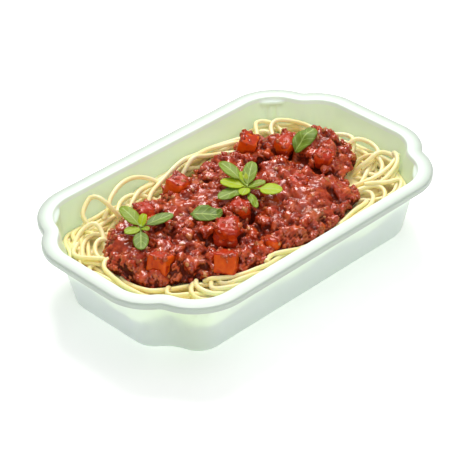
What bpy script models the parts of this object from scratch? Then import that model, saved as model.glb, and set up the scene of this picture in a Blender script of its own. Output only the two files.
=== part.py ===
"""Spaghetti with meat sauce and basil, packed in a pale plastic tray.

The numbers below are millimetres and make_object() turns them into metres. +Z is up, the tray
stands on z = 0, its long side runs along X and its centre is at the origin.
"""
import math
import random

import bmesh
import bpy
import numpy as np
from mathutils import Matrix, Vector, noise
from mathutils.bvhtree import BVHTree
from mathutils.geometry import delaunay_2d_cdt

MM = 0.001
GAP = 0.3
MERGE = 0.000001

# Tray
TRAY_LENGTH = 200.0
TRAY_WIDTH = 125.3
TRAY_HEIGHT = 37.5
WALL = 0.8
RIM_WIDTH = 7.6
SKIRT = 3.1
RIM_EDGE = 1.0
BASE_INSET = 14.9
BASE_ROUND = 6.0
END_LOBE = 26.2
END_LOBE_Y = 18.7
SIDE_LOBE = 27.7
SIDE_LOBE_X = 60.8
NOTCH = 7.3
LUG_DROP = 2.2
LUG_DEEP = 1.8
LUG_TALL = 1.6
LUG_FROM, LUG_TO = 30.0, 68.0
RIB_TALL, RIB_WIDE, RIB_PROUD = 7.0, 1.3, 0.5

# Spaghetti
PASTA_TOP = 23.4
PASTA_SHOULDER = 1.6
STRAND = 2.5
STRAND_STEP = 6.0
STRAND_POINTS = 5
LAYING_STRANDS = 18
LAYERS = (24.2, 25.4, 26.4)
STRAND_END = PASTA_TOP + 0.5
PASTA_SEED = 11

# Sauce
SAUCE_STEP = 3.9
SAUCE_FOOT = PASTA_TOP + GAP
SAUCE_BELLY = 26.0
SAUCE_SHOULDER = 28.4
SAUCE_TALL = 32.9
SAUCE_SLOPE = 12.0
SAUCE_RELIEF = 1.9
SHOULDER_IN = 1.2
FOOT_IN = 1.6
SAUCE_OUTLINE = (
    (-76, -11), (-77, 2), (-74, 13), (-66, 23), (-57, 29), (-46, 32), (-34, 32.5), (-23, 32),
    (-16, 35), (-9, 38), (0, 35), (5, 36), (12, 38.5), (21, 37), (30, 34.5), (37, 38), (45, 39),
    (55, 34), (64, 27), (71, 19), (75.5, 10), (77, 0), (73, -9), (64, -15), (55, -19), (53, -28),
    (48, -35), (36, -39), (24, -43), (8, -45), (-6, -44), (-16, -39), (-26, -43), (-38, -42),
    (-45, -34), (-53, -27), (-63, -22), (-72, -18))
# Mounds and hollows of the heap: x, y, radius, height
SAUCE_MOUNDS = (
    (-60, 4, 14, 0.8), (-24, 2, 20, 1.5), (14, 4, 18, 2.2), (30, -18, 15, 1.6), (62, 8, 12, 1.6),
    (42, 24, 9, 1.0), (47, -10, 6, -4.0), (44, 6, 7, -3.5), (31, 22, 7, -3.0), (-33, -22, 7, -3.0),
    (-12, -26, 8, -3.0), (-44, 3, 6, -2.0), (-2, 22, 7, -2.0), (-17, -34, 7, -2.5))

# Vegetable pieces in the sauce: name, centre, size, turn about Z, tilt, share above the sauce
CHUNKS = (
    ("carrot_front", (-39.0, -32.5), (10.5, 10.5, 9.5), 42, 8, 0.62),
    ("carrot_left", (-62.5, -12.0), (10.5, 9.0, 9.0), 20, 24, 0.55),
    ("carrot_back_left", (-12.0, 30.0), (10.0, 9.5, 9.0), 12, 12, 0.60),
    ("carrot_back", (38.0, 31.0), (10.0, 8.5, 9.0), 35, 20, 0.60),
    ("carrot_rear", (51.5, 18.5), (11.0, 9.0, 8.0), 10, 18, 0.50),
    ("carrot_middle", (29.0, -12.5), (9.5, 8.5, 8.0), 15, 10, 0.30),
    ("tomato_middle", (-25.0, -17.0), (12.5, 11.0, 10.0), 30, 16, 0.55),
    ("tomato_centre", (-7.5, -9.0), (9.5, 9.5, 10.0), 48, 14, 0.60),
    ("tomato_left", (-40.0, 24.0), (10.5, 9.0, 8.5), 70, 10, 0.50),
    ("tomato_right", (55.0, -4.5), (9.0, 8.5, 8.5), 40, 14, 0.45),
    ("mushroom_left", (-68.5, -2.0), (8.5, 7.5, 7.5), 25, 10, 0.45),
    ("carrot_low", (-12.0, -36.0), (7.5, 7.5, 7.5), 10, 5, 0.45))
CHUNK_BEVEL = 1.5

# Basil: heading from +X, reach along the level, rise of the tip, width
LEAF_THICK = 0.45
SPRIGS = {
    "basil_left": ((-53.4, 10.9), (
        (84, 15.4, 3.4, 6.8), (-13, 17.6, 2.2, 6.8), (-132, 15.6, 0.2, 6.8), (162, 9.2, 1.6, 5.0),
        (31, 6.6, 3.6, 3.6), (-84, 5.4, 1.6, 2.8))),
    "basil_middle": ((4.8, -1.4), (
        (86, 20.0, 4.6, 7.6), (35, 16.4, 4.6, 7.4), (120, 12.8, 2.6, 8.0), (166, 16.4, 0.8, 8.2),
        (-153, 8.0, 0.6, 4.4), (-26, 10.0, 1.6, 4.4), (-58, 17.2, 1.0, 8.6), (-113, 15.6, 0.2, 3.6),
        (62, 9.0, 4.2, 3.6)))}
LONE_LEAVES = {
    "basil_leaf_centre": ((-29.0, 4.6), (-50, 15.5, 0.6, 9.5)),
    "basil_leaf_back": ((47.5, 7.0), (-4, 18.5, 4.6, 10.5))}
STEM = 1.3
STALK_SHARE = 0.15
STALK_HALF = 0.5
LEAF_MARGIN = 1.4

COLOURS = {
    "tray": ((0.76, 0.84, 0.74), 0.32), "spaghetti": ((0.80, 0.68, 0.36), 0.40),
    "sauce": ((0.30, 0.035, 0.018), 0.28), "carrot": ((0.62, 0.13, 0.020), 0.35),
    "tomato": ((0.50, 0.040, 0.018), 0.28), "mushroom": ((0.35, 0.060, 0.030), 0.35),
    "basil": ((0.16, 0.26, 0.035), 0.45)}


def clear_scene():
    for item in list(bpy.data.objects):
        bpy.data.objects.remove(item, do_unlink=True)


def material(kind):
    found = bpy.data.materials.get(kind)
    if found:
        return found
    made = bpy.data.materials.new(kind)
    made.use_nodes = True
    colour, rough = COLOURS[kind]
    shader = made.node_tree.nodes["Principled BSDF"]
    shader.inputs["Base Color"].default_value = (*colour, 1.0)
    shader.inputs["Roughness"].default_value = rough
    shader.inputs["Metallic"].default_value = 0.0
    return made


def make_object(name, bm, kind, in_mm=True):
    """Turns a bmesh into an object of the scene, faces outwards, in metres."""
    if in_mm:
        bmesh.ops.scale(bm, vec=(MM, MM, MM), verts=bm.verts)
    bmesh.ops.recalc_face_normals(bm, faces=bm.faces)
    mesh = bpy.data.meshes.new(name)
    bm.to_mesh(mesh)
    bm.free()
    mesh.materials.append(material(kind))
    mesh.shade_smooth()
    mesh.set_sharp_from_angle(angle=math.radians(35))
    made = bpy.data.objects.new(name, mesh)
    bpy.context.scene.collection.objects.link(made)
    return made


def combine(base, others, operation, solver="EXACT"):
    """Joins the other objects to the base, or cuts them from it, and removes them."""
    group = bpy.data.collections.new("combine")
    bpy.context.scene.collection.children.link(group)
    for other in others:
        bpy.context.scene.collection.objects.unlink(other)
        group.objects.link(other)
    step = base.modifiers.new("combine", "BOOLEAN")
    step.operand_type = "COLLECTION"
    step.collection = group
    step.operation = operation
    step.solver = solver
    done = bpy.data.meshes.new_from_object(base.evaluated_get(bpy.context.evaluated_depsgraph_get()))
    base.modifiers.remove(step)
    base.data = done
    for other in others:
        bpy.data.objects.remove(other, do_unlink=True)
    bpy.data.collections.remove(group)
    keep_largest(base)


def keep_largest(made):
    """Drops loose scraps that a Boolean leaves, and merges its doubled points."""
    bm = bmesh.new()
    bm.from_mesh(made.data)
    bmesh.ops.remove_doubles(bm, verts=bm.verts, dist=MERGE)
    unseen = set(bm.verts)
    groups = []
    while unseen:
        stack = [unseen.pop()]
        group = list(stack)
        while stack:
            for edge in stack.pop().link_edges:
                for vert in edge.verts:
                    if vert in unseen:
                        unseen.remove(vert)
                        stack.append(vert)
                        group.append(vert)
        groups.append(group)
    groups.sort(key=lambda group: max(v.co.x for v in group) - min(v.co.x for v in group))
    for group in groups[:-1]:
        bmesh.ops.delete(bm, geom=group, context="VERTS")
    bmesh.ops.triangulate(bm, faces=bm.faces)
    bm.to_mesh(made.data)
    bm.free()


def arc(centre, radius, start, end, steps):
    """Points of an arc with the unit vectors that point away from its centre."""
    angles = np.radians(np.linspace(start, end, steps + 1))
    away = np.c_[np.cos(angles), np.sin(angles)]
    return np.array(centre) + radius * away, away


def rim_outline(end_steps, notch_steps, side_steps):
    """The rim's outer outline, anticlockwise, and the normal at each of its points.

    A quarter is three arcs that run into each other: an end lobe, a notch that bends the other
    way, and a side lobe. Mirrors give the other quarters.
    """
    end_centre = np.array((TRAY_LENGTH / 2 - END_LOBE, END_LOBE_Y))
    side_centre = np.array((SIDE_LOBE_X, TRAY_WIDTH / 2 - SIDE_LOBE))
    between = side_centre - end_centre
    apart = np.hypot(*between)
    to_end, to_side = END_LOBE + NOTCH, SIDE_LOBE + NOTCH
    along = (to_end ** 2 - to_side ** 2 + apart ** 2) / (2 * apart)
    out = math.sqrt(to_end ** 2 - along ** 2)
    unit = between / apart
    notch_centre = end_centre + unit * along + np.array((unit[1], -unit[0])) * out
    leave = math.degrees(math.atan2(*(notch_centre - end_centre)[::-1]))
    enter = math.degrees(math.atan2(*(notch_centre - side_centre)[::-1]))
    end_points, end_away = arc(end_centre, END_LOBE, 0, leave, end_steps)
    notch_points, notch_away = arc(notch_centre, NOTCH, leave + 180, enter + 180, notch_steps)
    side_points, side_away = arc(side_centre, SIDE_LOBE, enter, 90, side_steps)
    points = np.vstack((end_points, notch_points[1:-1], side_points))
    normals = np.vstack((end_away, -notch_away[1:-1], side_away))
    quarters = []
    for flip, backwards in (((1, 1), False), ((-1, 1), True), ((-1, -1), False), ((1, -1), True)):
        order = slice(None, None, -1 if backwards else 1)
        quarters.append((points[order] * flip, normals[order] * flip))
    return np.vstack([q[0] for q in quarters]), np.vstack([q[1] for q in quarters])


def ring(outline, inset, height):
    """The outline moved inwards by the inset, at a height."""
    points, normals = outline
    flat = points - normals * inset
    return np.c_[flat, np.full(len(flat), height)]


def loft(rings):
    """A closed skin over rings of equal count, with a face over each end."""
    bm = bmesh.new()
    rows = [[bm.verts.new(point) for point in line] for line in rings]
    for low, high in zip(rows, rows[1:]):
        for i, vert in enumerate(low):
            j = (i + 1) % len(low)
            bm.faces.new((vert, low[j], high[j], high[i]))
    bm.faces.new(rows[0])
    bm.faces.new(rows[-1])
    return bm


WALL_LEAN = math.atan((BASE_INSET - RIM_WIDTH + WALL) / TRAY_HEIGHT)
WALL_ACROSS = WALL / math.cos(WALL_LEAN)


def inside_inset(height):
    """How far the inner wall lies inside the rim's outer outline at a height."""
    return RIM_WIDTH + (TRAY_HEIGHT - height) * math.tan(WALL_LEAN)


def rounded(corners, steps):
    """A section line through the corners, each (inset, height, radius), without its two ends."""
    line = []
    for before, corner, after in zip(corners, corners[1:], corners[2:]):
        here, radius = np.array(corner[:2]), corner[2]
        if not radius:
            line.append(here)
            continue
        back = np.array(before[:2]) - here
        ahead = np.array(after[:2]) - here
        back, ahead = back / np.hypot(*back), ahead / np.hypot(*ahead)
        half = math.acos(np.clip(back @ ahead, -1, 1)) / 2
        middle = (back + ahead) / np.hypot(*(back + ahead))
        centre = here + middle * radius / math.sin(half)
        first = here + back * radius / math.tan(half) - centre
        last = here + ahead * radius / math.tan(half) - centre
        sweep = math.atan2(first[0] * last[1] - first[1] * last[0], first @ last)
        for k in range(steps + 1):
            turn = sweep * k / steps
            line.append(centre + (first[0] * math.cos(turn) - first[1] * math.sin(turn),
                                  first[0] * math.sin(turn) + first[1] * math.cos(turn)))
    return line


def tray():
    outline = rim_outline(6, 3, 6)
    top = TRAY_HEIGHT
    outside_top = inside_inset(top - WALL) - WALL_ACROSS
    section = rounded((
        (BASE_INSET + 20, 0, 0), (BASE_INSET, 0, BASE_ROUND), (outside_top, top - WALL, 0),
        (WALL, top - WALL, 0), (WALL, top - SKIRT, 0), (0, top - SKIRT, 0), (0, top, RIM_EDGE),
        (RIM_WIDTH, top, RIM_EDGE / 2), (inside_inset(WALL), WALL, BASE_ROUND - WALL),
        (BASE_INSET + 20, WALL, 0)), 3)
    made = make_object("tray", loft([ring(outline, *point) for point in section]), "tray")
    combine(made, list(lugs()), "UNION")
    return made


def lugs():
    """Small ledges under the rim in the four corners, each over two ribs on the wall."""
    centre = np.array((SIDE_LOBE_X, TRAY_WIDTH / 2 - SIDE_LOBE))
    high = TRAY_HEIGHT - LUG_DROP
    low = high - LUG_TALL
    for flip in ((1, 1), (-1, 1), (-1, -1), (1, -1)):
        rings = []
        for height, share in ((high, 1.0), (low, 0.35)):
            wall_at = SIDE_LOBE - inside_inset(height)
            outer, _ = arc(centre, wall_at + WALL / 2, LUG_FROM, LUG_TO, 6)
            angles = np.linspace(LUG_TO, LUG_FROM, 7)
            bulge = np.sin(np.linspace(0.12, math.pi - 0.12, 7)) * LUG_DEEP * share
            reach = wall_at - bulge
            inner = centre + np.c_[np.cos(np.radians(angles)), np.sin(np.radians(angles))] * reach[:, None]
            flat = np.vstack((outer, inner)) * flip
            rings.append(np.c_[flat, np.full(len(flat), height)])
        yield make_object("lug", loft(rings), "tray")
        for turn in (LUG_FROM + 12, LUG_TO - 12):
            radial = np.array((math.cos(math.radians(turn)), math.sin(math.radians(turn))))
            across = np.array((-radial[1], radial[0])) * RIB_WIDE / 2
            rings = []
            for height in (low + LUG_TALL / 2, low - RIB_TALL):
                wall_at = centre + radial * (SIDE_LOBE - inside_inset(height))
                inner, outer = wall_at - radial * RIB_PROUD, wall_at + radial * WALL / 2
                flat = np.array((inner - across, inner + across, outer + across, outer - across)) * flip
                rings.append(np.c_[flat, np.full(4, height)])
            yield make_object("rib", loft(rings), "tray")


def smooth_path(knots, step, closed=False):
    """A smooth curve through the knots, with points a step apart."""
    knots = np.array(knots, dtype=float)
    if closed:
        padded = np.vstack((knots[-1], knots, knots[:2]))
    else:
        padded = np.vstack((2 * knots[0] - knots[1], knots, 2 * knots[-1] - knots[-2]))
    fine = []
    for a, b, c, d in zip(padded, padded[1:], padded[2:], padded[3:]):
        for t in np.arange(0, 1, 0.1):
            fine.append(0.5 * (2 * b + (c - a) * t + (2 * a - 5 * b + 4 * c - d) * t * t
                               + (3 * b - 3 * c + d - a) * t ** 3))
    fine.append(fine[0] if closed else knots[-1])
    fine = np.array(fine)
    run = np.r_[0, np.cumsum(np.linalg.norm(np.diff(fine, axis=0), axis=1))]
    count = max(3, round(run[-1] / step))
    at = np.linspace(0, run[-1], count + 1)
    even = np.stack([np.interp(at, run, fine[:, k]) for k in range(fine.shape[1])], axis=1)
    return even[:-1] if closed else even


def outward_normals(loop):
    """Unit normals of an anticlockwise loop in plan, pointing out of it."""
    along = np.roll(loop, -1, axis=0) - np.roll(loop, 1, axis=0)
    along /= np.linalg.norm(along, axis=1)[:, None]
    return np.c_[along[:, 1], -along[:, 0]]


def depth_inside(loop, point):
    """Distance of a point from the nearest place of a loop, positive inside, and that place."""
    nearest = np.argmin(np.hypot(*(loop - point).T))
    normal = outward_normals(loop)[nearest]
    return (loop[nearest] - point) @ normal, loop[nearest], normal


SAUCE_EDGE = smooth_path(SAUCE_OUTLINE, 1.0, closed=True)[::-1]
WALL_EDGE = smooth_path(ring(rim_outline(12, 8, 14), inside_inset(PASTA_TOP), 0)[:, :2], 1.0, closed=True)


def room(point):
    """Room that a strand's point has to the tray's wall and to the sauce, with their normals."""
    wall, _, wall_normal = depth_inside(WALL_EDGE, point[:2])
    wall += inside_inset(PASTA_TOP) - inside_inset(point[2] - STRAND / 2)
    heap, _, heap_normal = depth_inside(SAUCE_EDGE, point[:2])
    return wall - STRAND / 2, wall_normal, -heap - STRAND / 2, heap_normal


def keep_in_band(path):
    """Moves a strand off the wall and out from under the sauce, and shortens what can't move."""
    for again in range(4):
        for point in path:
            wall, wall_normal, heap, heap_normal = room(point)
            point[:2] += heap_normal * max(0, 2 * GAP - heap)
            wall, wall_normal, heap, heap_normal = room(point)
            point[:2] -= wall_normal * max(0, 2 * GAP - wall)
        if again < 3:
            path[1:-1] = (path[:-2] + 2 * path[1:-1] + path[2:]) / 4
    runs, run = [], []
    for point in path:
        wall, _, heap, _ = room(point)
        if min(wall, heap) > 1.5 * GAP:
            run.append(point)
        else:
            runs.append(run)
            run = []
    return max((*runs, run), key=len)


def laying_strands():
    """Strands that follow the tray's wall round the sauce, in a few layers."""
    draw = random.Random(PASTA_SEED)
    outline = rim_outline(12, 8, 14)
    wall = smooth_path(ring(outline, inside_inset(PASTA_TOP), 0)[:, :2], 1.0, closed=True)
    inward = -outward_normals(wall)
    for k in range(LAYING_STRANDS):
        start = (k + 0.3 * draw.random()) / LAYING_STRANDS * len(wall)
        length = draw.uniform(45, 80)
        near, far = draw.uniform(3, 6), draw.uniform(7, 15)
        if draw.random() < 0.5:
            near, far = far, near
        layer = LAYERS[k % len(LAYERS)]
        knots = []
        for t in np.linspace(0, 1, 5):
            at = int(start + length * t) % len(wall)
            inset = near + (far - near) * t + draw.uniform(-1, 1)
            lift = (layer - STRAND_END) * min(1, 3 * math.sin(math.pi * t))
            knots.append((*(wall[at] + inward[at] * inset), STRAND_END + lift))
        yield keep_in_band(smooth_path(knots, STRAND_STEP))


# Strands that stand up in loops: centre, half sizes, turn, start and end angle, rise
LOOPS = (
    ((-57.0, 33.0), (7.5, 15.0), 0, 190, -10, 11.0),
    ((-30.0, 40.0), (14.0, 9.5), 0, 185, -5, 9.5),
    ((-72.0, 26.0), (9.5, 10.0), 20, 200, -10, 5.0),
    ((6.0, 18.0), (46.0, 27.0), 0, 150, 32, 2.5),
    ((60.0, 36.0), (7.0, 9.0), -20, 185, -15, 6.5),
    ((80.0, -10.0), (6.5, 13.0), 0, 240, -60, 3.5),
    ((64.0, -31.0), (15.0, 8.5), 25, 200, -20, 2.5),
    ((-62.0, -34.0), (18.0, 9.0), -32, 170, 10, 1.5),
    ((42.0, -43.0), (17.0, 4.0), 0, 180, 5, 2.0))


def loop_strands():
    for centre, half, turn, start, end, rise in LOOPS:
        spin = math.radians(turn)
        knots = []
        for t in np.linspace(0, 1, 9):
            angle = math.radians(start + (end - start) * t)
            x, y = half[0] * math.cos(angle), half[1] * math.sin(angle)
            knots.append((centre[0] + x * math.cos(spin) - y * math.sin(spin),
                          centre[1] + x * math.sin(spin) + y * math.cos(spin),
                          STRAND_END + rise * math.sin(math.pi * t)))
        yield keep_in_band(smooth_path(knots, STRAND_STEP))


def tube(name, path, width, kind):
    """A round rod along a path, from a bevelled curve with closed ends."""
    curve = bpy.data.curves.new(name, "CURVE")
    curve.dimensions = "3D"
    curve.bevel_depth = width / 2 * MM
    curve.bevel_resolution = 1
    curve.use_fill_caps = True
    line = curve.splines.new("POLY")
    line.points.add(len(path) - 1)
    for point, place in zip(line.points, path):
        point.co = (*(np.array(place) * MM), 1.0)
    holder = bpy.data.objects.new(name, curve)
    bpy.context.scene.collection.objects.link(holder)
    depsgraph = bpy.context.evaluated_depsgraph_get()
    bm = bmesh.new()
    bm.from_mesh(bpy.data.meshes.new_from_object(holder.evaluated_get(depsgraph)))
    bpy.data.objects.remove(holder, do_unlink=True)
    bmesh.ops.remove_doubles(bm, verts=bm.verts, dist=10 * MERGE)
    return make_object(name, bm, kind, in_mm=False)


def spaghetti():
    """The heap's core, fitted to the tray, with the strands that show round the sauce."""
    outline = rim_outline(3, 3, 4)
    off = 2.5 * GAP
    wall_top = PASTA_TOP - PASTA_SHOULDER
    section = rounded((
        (BASE_INSET + 20, WALL + GAP, 0),
        (inside_inset(WALL) + off, WALL + GAP, BASE_ROUND - WALL),
        (inside_inset(wall_top) + off, wall_top, 0),
        (inside_inset(wall_top) + off + PASTA_SHOULDER, PASTA_TOP, 0),
        (BASE_INSET + 20, PASTA_TOP, 0)), 2)
    made = make_object("spaghetti", loft([ring(outline, *point) for point in section]), "spaghetti")
    paths = [path for path in (*laying_strands(), *loop_strands()) if len(path) >= STRAND_POINTS]
    strands = [tube("strand", path, STRAND, "spaghetti") for path in paths]
    combine(made, strands, "UNION", "MANIFOLD")
    return made


def sauce_height(x, y, inside):
    """Height of the sauce's top, which rises from its edge to mounds with a lumpy surface."""
    share = 1 - (1 - min(inside / SAUCE_SLOPE, 1)) ** 2
    height = SAUCE_SHOULDER + (SAUCE_TALL - SAUCE_SHOULDER) * math.sqrt(share)
    for mound_x, mound_y, radius, rise in SAUCE_MOUNDS:
        away = ((x - mound_x) ** 2 + (y - mound_y) ** 2) / radius ** 2
        height += rise * math.exp(-away) * share
    coarse = noise.noise(Vector((x / 9, y / 9, 1.7)))
    fine = noise.noise(Vector((x / 4.2, y / 4.2, 8.3)))
    return max(height + SAUCE_RELIEF * (coarse + 0.8 * fine), SAUCE_FOOT + 2.5)


def sauce():
    edge = smooth_path(SAUCE_OUTLINE, SAUCE_STEP, closed=True)[::-1]
    normals = outward_normals(edge)
    lumps = np.array([noise.noise(Vector((x / 7, y / 7, 4.1))) for x, y in edge])
    draw = random.Random(5)
    shoulder = edge - normals * SHOULDER_IN
    inner = []
    (low_x, low_y), (high_x, high_y) = edge.min(axis=0), edge.max(axis=0)
    for row, y in enumerate(np.arange(low_y, high_y, SAUCE_STEP * 0.87)):
        for x in np.arange(low_x, high_x, SAUCE_STEP):
            spot = np.array((x + SAUCE_STEP / 2 * (row % 2), y))
            spot += (draw.uniform(-0.4, 0.4), draw.uniform(-0.4, 0.4))
            if depth_inside(SAUCE_EDGE, spot)[0] > SHOULDER_IN + SAUCE_STEP * 0.7:
                inner.append(spot)
    count = len(edge)
    flat = [Vector(p) for p in (*shoulder, *inner)]
    border = [(i, (i + 1) % count) for i in range(count)]
    flat, _, faces, *_ = delaunay_2d_cdt(flat, border, [], 1, 0.0001)
    bm = bmesh.new()
    top = []
    for spot in flat:
        inside = max(depth_inside(SAUCE_EDGE, np.array(spot))[0] - SHOULDER_IN, 0)
        top.append(bm.verts.new((spot.x, spot.y, sauce_height(spot.x, spot.y, inside))))
    for face in faces:
        bm.faces.new([top[i] for i in face])
    belly = [bm.verts.new((*(p + n * 0.4 * lump), SAUCE_BELLY + lump))
             for p, n, lump in zip(edge, normals, lumps)]
    foot = [bm.verts.new((*(p - n * FOOT_IN), SAUCE_FOOT)) for p, n in zip(edge, normals)]
    for upper, lower in ((top, belly), (belly, foot)):
        for i in range(count):
            j = (i + 1) % count
            bm.faces.new((upper[i], upper[j], lower[j], lower[i]))
    bm.faces.new(foot)
    return make_object("sauce", bm, "sauce")


def chunk_mesh(size, seed, grow):
    """A roughly cut cube with soft edges, grown on all sides by a margin."""
    bm = bmesh.new()
    bmesh.ops.create_cube(bm, size=1.0)
    draw = random.Random(seed)
    for vert in bm.verts:
        vert.co += Vector([draw.uniform(-0.07, 0.07) for _ in range(3)])
        vert.co = Vector([c * (s + 2 * grow) for c, s in zip(vert.co, size)])
    bmesh.ops.bevel(bm, geom=bm.edges[:], offset=CHUNK_BEVEL, segments=1, profile=0.5,
                    affect="EDGES", clamp_overlap=True, material=-1)
    return bm


def chunks(heap):
    """The cut vegetables, with the sauce hollowed out round each of them."""
    made, cutters = [], []
    tree = BVHTree.FromObject(heap, bpy.context.evaluated_depsgraph_get())
    for seed, (name, (x, y), size, turn, tilt, above) in enumerate(CHUNKS):
        hit = tree.ray_cast(Vector((x, y, 100)) * MM, Vector((0, 0, -1)))[0]
        height = hit.z / MM + size[2] * (above - 0.5)
        height = max(height, SAUCE_FOOT + 1.2 + 0.62 * size[2])
        place = (Matrix.Translation((x, y, height)) @ Matrix.Rotation(math.radians(turn), 4, "Z")
                 @ Matrix.Rotation(math.radians(tilt), 4, "X"))
        for grow, label in ((0, name), (GAP, "cutter")):
            bm = chunk_mesh(size, seed, grow)
            bmesh.ops.transform(bm, matrix=place, verts=bm.verts)
            solid = make_object(label, bm, name.split("_")[0])
            (cutters if grow else made).append(solid)
    combine(heap, cutters, "DIFFERENCE")
    return made


def surface_under(trees, x, y, reach):
    """The highest place of the food round a spot."""
    best = SAUCE_FOOT
    for dx, dy in ((0, 0), (reach, 0), (-reach, 0), (0, reach), (0, -reach)):
        for tree in trees:
            hit = tree.ray_cast(Vector((x + dx, y + dy, 100)) * MM, Vector((0, 0, -1)))[0]
            if hit:
                best = max(best, hit.z / MM)
    return best


def leaf(trees, base, heading, reach, rise, width):
    """A thin cupped leaf that lifts over what lies under it."""
    stations = (0, 0.1, 0.2, 0.32, 0.5, 0.7, 0.88, 1.0)
    long_cells, wide_cells = len(stations) - 1, 2
    ahead = np.array((math.cos(math.radians(heading)), math.sin(math.radians(heading))))
    side = np.array((-ahead[1], ahead[0]))
    bm = bmesh.new()
    sheets = []
    for lift in (LEAF_THICK, 0.0):
        rows = []
        for t in stations:
            blade = math.sin(math.pi * max(0, (t - STALK_SHARE) / (1 - STALK_SHARE)) ** 0.9)
            half = STALK_HALF + (width / 2 - STALK_HALF) * max(0, blade) ** 0.65
            row = []
            for j in range(wide_cells + 1):
                across = 2 * j / wide_cells - 1
                x, y = base[:2] + ahead * reach * t + side * half * across
                wave = 0.25 * math.sin(5 * t + 3 * across)
                z = base[2] + rise * math.sin(math.pi / 2 * t) + 0.10 * half * across ** 2 + wave * t
                z = max(z, surface_under(trees, x, y, LEAF_MARGIN) + 2 * GAP)
                row.append(bm.verts.new((x, y, z + lift)))
            rows.append(row)
        sheets.append(rows)
    upper, lower = sheets
    for i in range(long_cells):
        for j in range(wide_cells):
            a, b, c, d = (i, j), (i + 1, j), (i + 1, j + 1), (i, j + 1)
            for one, two, three in ((a, b, c), (a, c, d)):
                bm.faces.new([upper[r][k] for r, k in (one, two, three)])
                bm.faces.new([lower[r][k] for r, k in (three, two, one)])
    rim = [(i, 0) for i in range(long_cells)] + [(long_cells, j) for j in range(wide_cells)]
    rim += [(i, wide_cells) for i in range(long_cells, 0, -1)] + [(0, j) for j in range(wide_cells, 0, -1)]
    for (r, k), (s, m) in zip(rim, rim[1:] + rim[:1]):
        bm.faces.new((upper[r][k], lower[r][k], lower[s][m], upper[s][m]))
    return bm


def basil(food):
    """Two sprigs, each a short stem with its leaves, and two lone leaves."""
    depsgraph = bpy.context.evaluated_depsgraph_get()
    trees = [BVHTree.FromObject(item, depsgraph) for item in food]
    for name, ((x, y), leaves) in SPRIGS.items():
        ground = surface_under(trees, x, y, 2.0) + 2 * GAP
        foot = np.array((x + 1.0, y + 1.0, ground + STEM / 2))
        top = foot + (-0.8, -0.8, 2.2)
        made = tube(name, (foot, (foot + top) / 2, top), STEM, "basil")
        blades = []
        for k, (heading, reach, rise, width) in enumerate(leaves):
            base = np.array((top[0], top[1], top[2] - 0.45 - 0.17 * k))
            blades.append(make_object("blade", leaf(trees, base, heading, reach, rise, width), "basil"))
        combine(made, blades, "UNION", "MANIFOLD")
    for name, ((x, y), (heading, reach, rise, width)) in LONE_LEAVES.items():
        base = np.array((x, y, surface_under(trees, x, y, LEAF_MARGIN) + 2 * GAP))
        make_object(name, leaf(trees, base, heading, reach, rise, width), "basil")


def main():
    clear_scene()
    tray()
    spaghetti()
    heap = sauce()
    pieces = chunks(heap)
    basil([heap, *pieces])


main()
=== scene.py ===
# %% [markdown]
# # Spaghetti with meat sauce in a plastic tray
# The real thing is a ready meal: a thin moulded tray, a bed of cooked spaghetti, a heap of
# minced-meat sauce with cut vegetables in it, and basil leaves on top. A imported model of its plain
# solids is the fixed frame. This script dresses each solid in a finer piece with a real finish.
# All sizes are written in millimetres, because food is easy to measure in them, and each piece
# is turned into metres once, when it is finished.

# %% Load the fixed model
import math
import random

import bmesh
import bpy
import numpy as np
from mathutils import Matrix, Vector, noise
from mathutils.bvhtree import BVHTree
from mathutils.kdtree import KDTree


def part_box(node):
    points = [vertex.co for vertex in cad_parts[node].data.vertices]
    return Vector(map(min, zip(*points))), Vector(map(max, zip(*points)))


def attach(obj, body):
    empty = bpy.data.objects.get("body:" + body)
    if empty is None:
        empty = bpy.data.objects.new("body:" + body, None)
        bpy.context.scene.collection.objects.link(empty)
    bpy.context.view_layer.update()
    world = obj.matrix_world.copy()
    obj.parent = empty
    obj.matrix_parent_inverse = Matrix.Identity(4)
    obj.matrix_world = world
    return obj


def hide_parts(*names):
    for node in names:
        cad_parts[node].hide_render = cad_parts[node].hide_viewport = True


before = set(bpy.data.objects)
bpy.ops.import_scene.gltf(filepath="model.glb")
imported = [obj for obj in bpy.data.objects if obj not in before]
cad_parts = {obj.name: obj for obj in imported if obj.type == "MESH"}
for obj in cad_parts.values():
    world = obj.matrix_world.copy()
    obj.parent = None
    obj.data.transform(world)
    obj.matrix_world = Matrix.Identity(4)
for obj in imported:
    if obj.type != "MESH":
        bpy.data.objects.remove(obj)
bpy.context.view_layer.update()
MM = 0.001
print("pieces of the fixed model:", sorted(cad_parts))

# %% [markdown]
# ## Helpers for finished pieces
# Every piece ends the same way: it gets a finish and it hides the plain solid that it stands
# for, and its mesh already has smooth shading. One helper does this, so a piece can't be left half
# finished.


# %% Helpers for finished pieces
def to_mesh(name, bm):
    """Turns a bmesh in millimetres into a smooth mesh object at the origin, in metres."""
    bmesh.ops.scale(bm, vec=(MM, MM, MM), verts=bm.verts)
    mesh = bpy.data.meshes.new(name)
    bm.to_mesh(mesh)
    bm.free()
    mesh.shade_smooth()
    made = bpy.data.objects.new(name, mesh)
    bpy.context.scene.collection.objects.link(made)
    return made


def dress(made, slot, finish, *nodes):
    """Gives a piece its finish and lets it stand for plain solids of the fixed model."""
    made.data.materials.clear()
    made.data.materials.append(finish)
    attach(made, "root")
    if nodes:
        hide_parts(*nodes)
    made.data.calc_loop_triangles()
    print(made.name, "has", len(made.data.loop_triangles), "triangles")


def copy_of_solid(node):
    """A bmesh copy of a plain solid in millimetres, with its loose triangles merged."""
    bm = bmesh.new()
    bm.from_mesh(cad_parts[node].data)
    bmesh.ops.remove_doubles(bm, verts=bm.verts, dist=0.00001)
    bmesh.ops.scale(bm, vec=(1 / MM, 1 / MM, 1 / MM), verts=bm.verts)
    return bm


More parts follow.
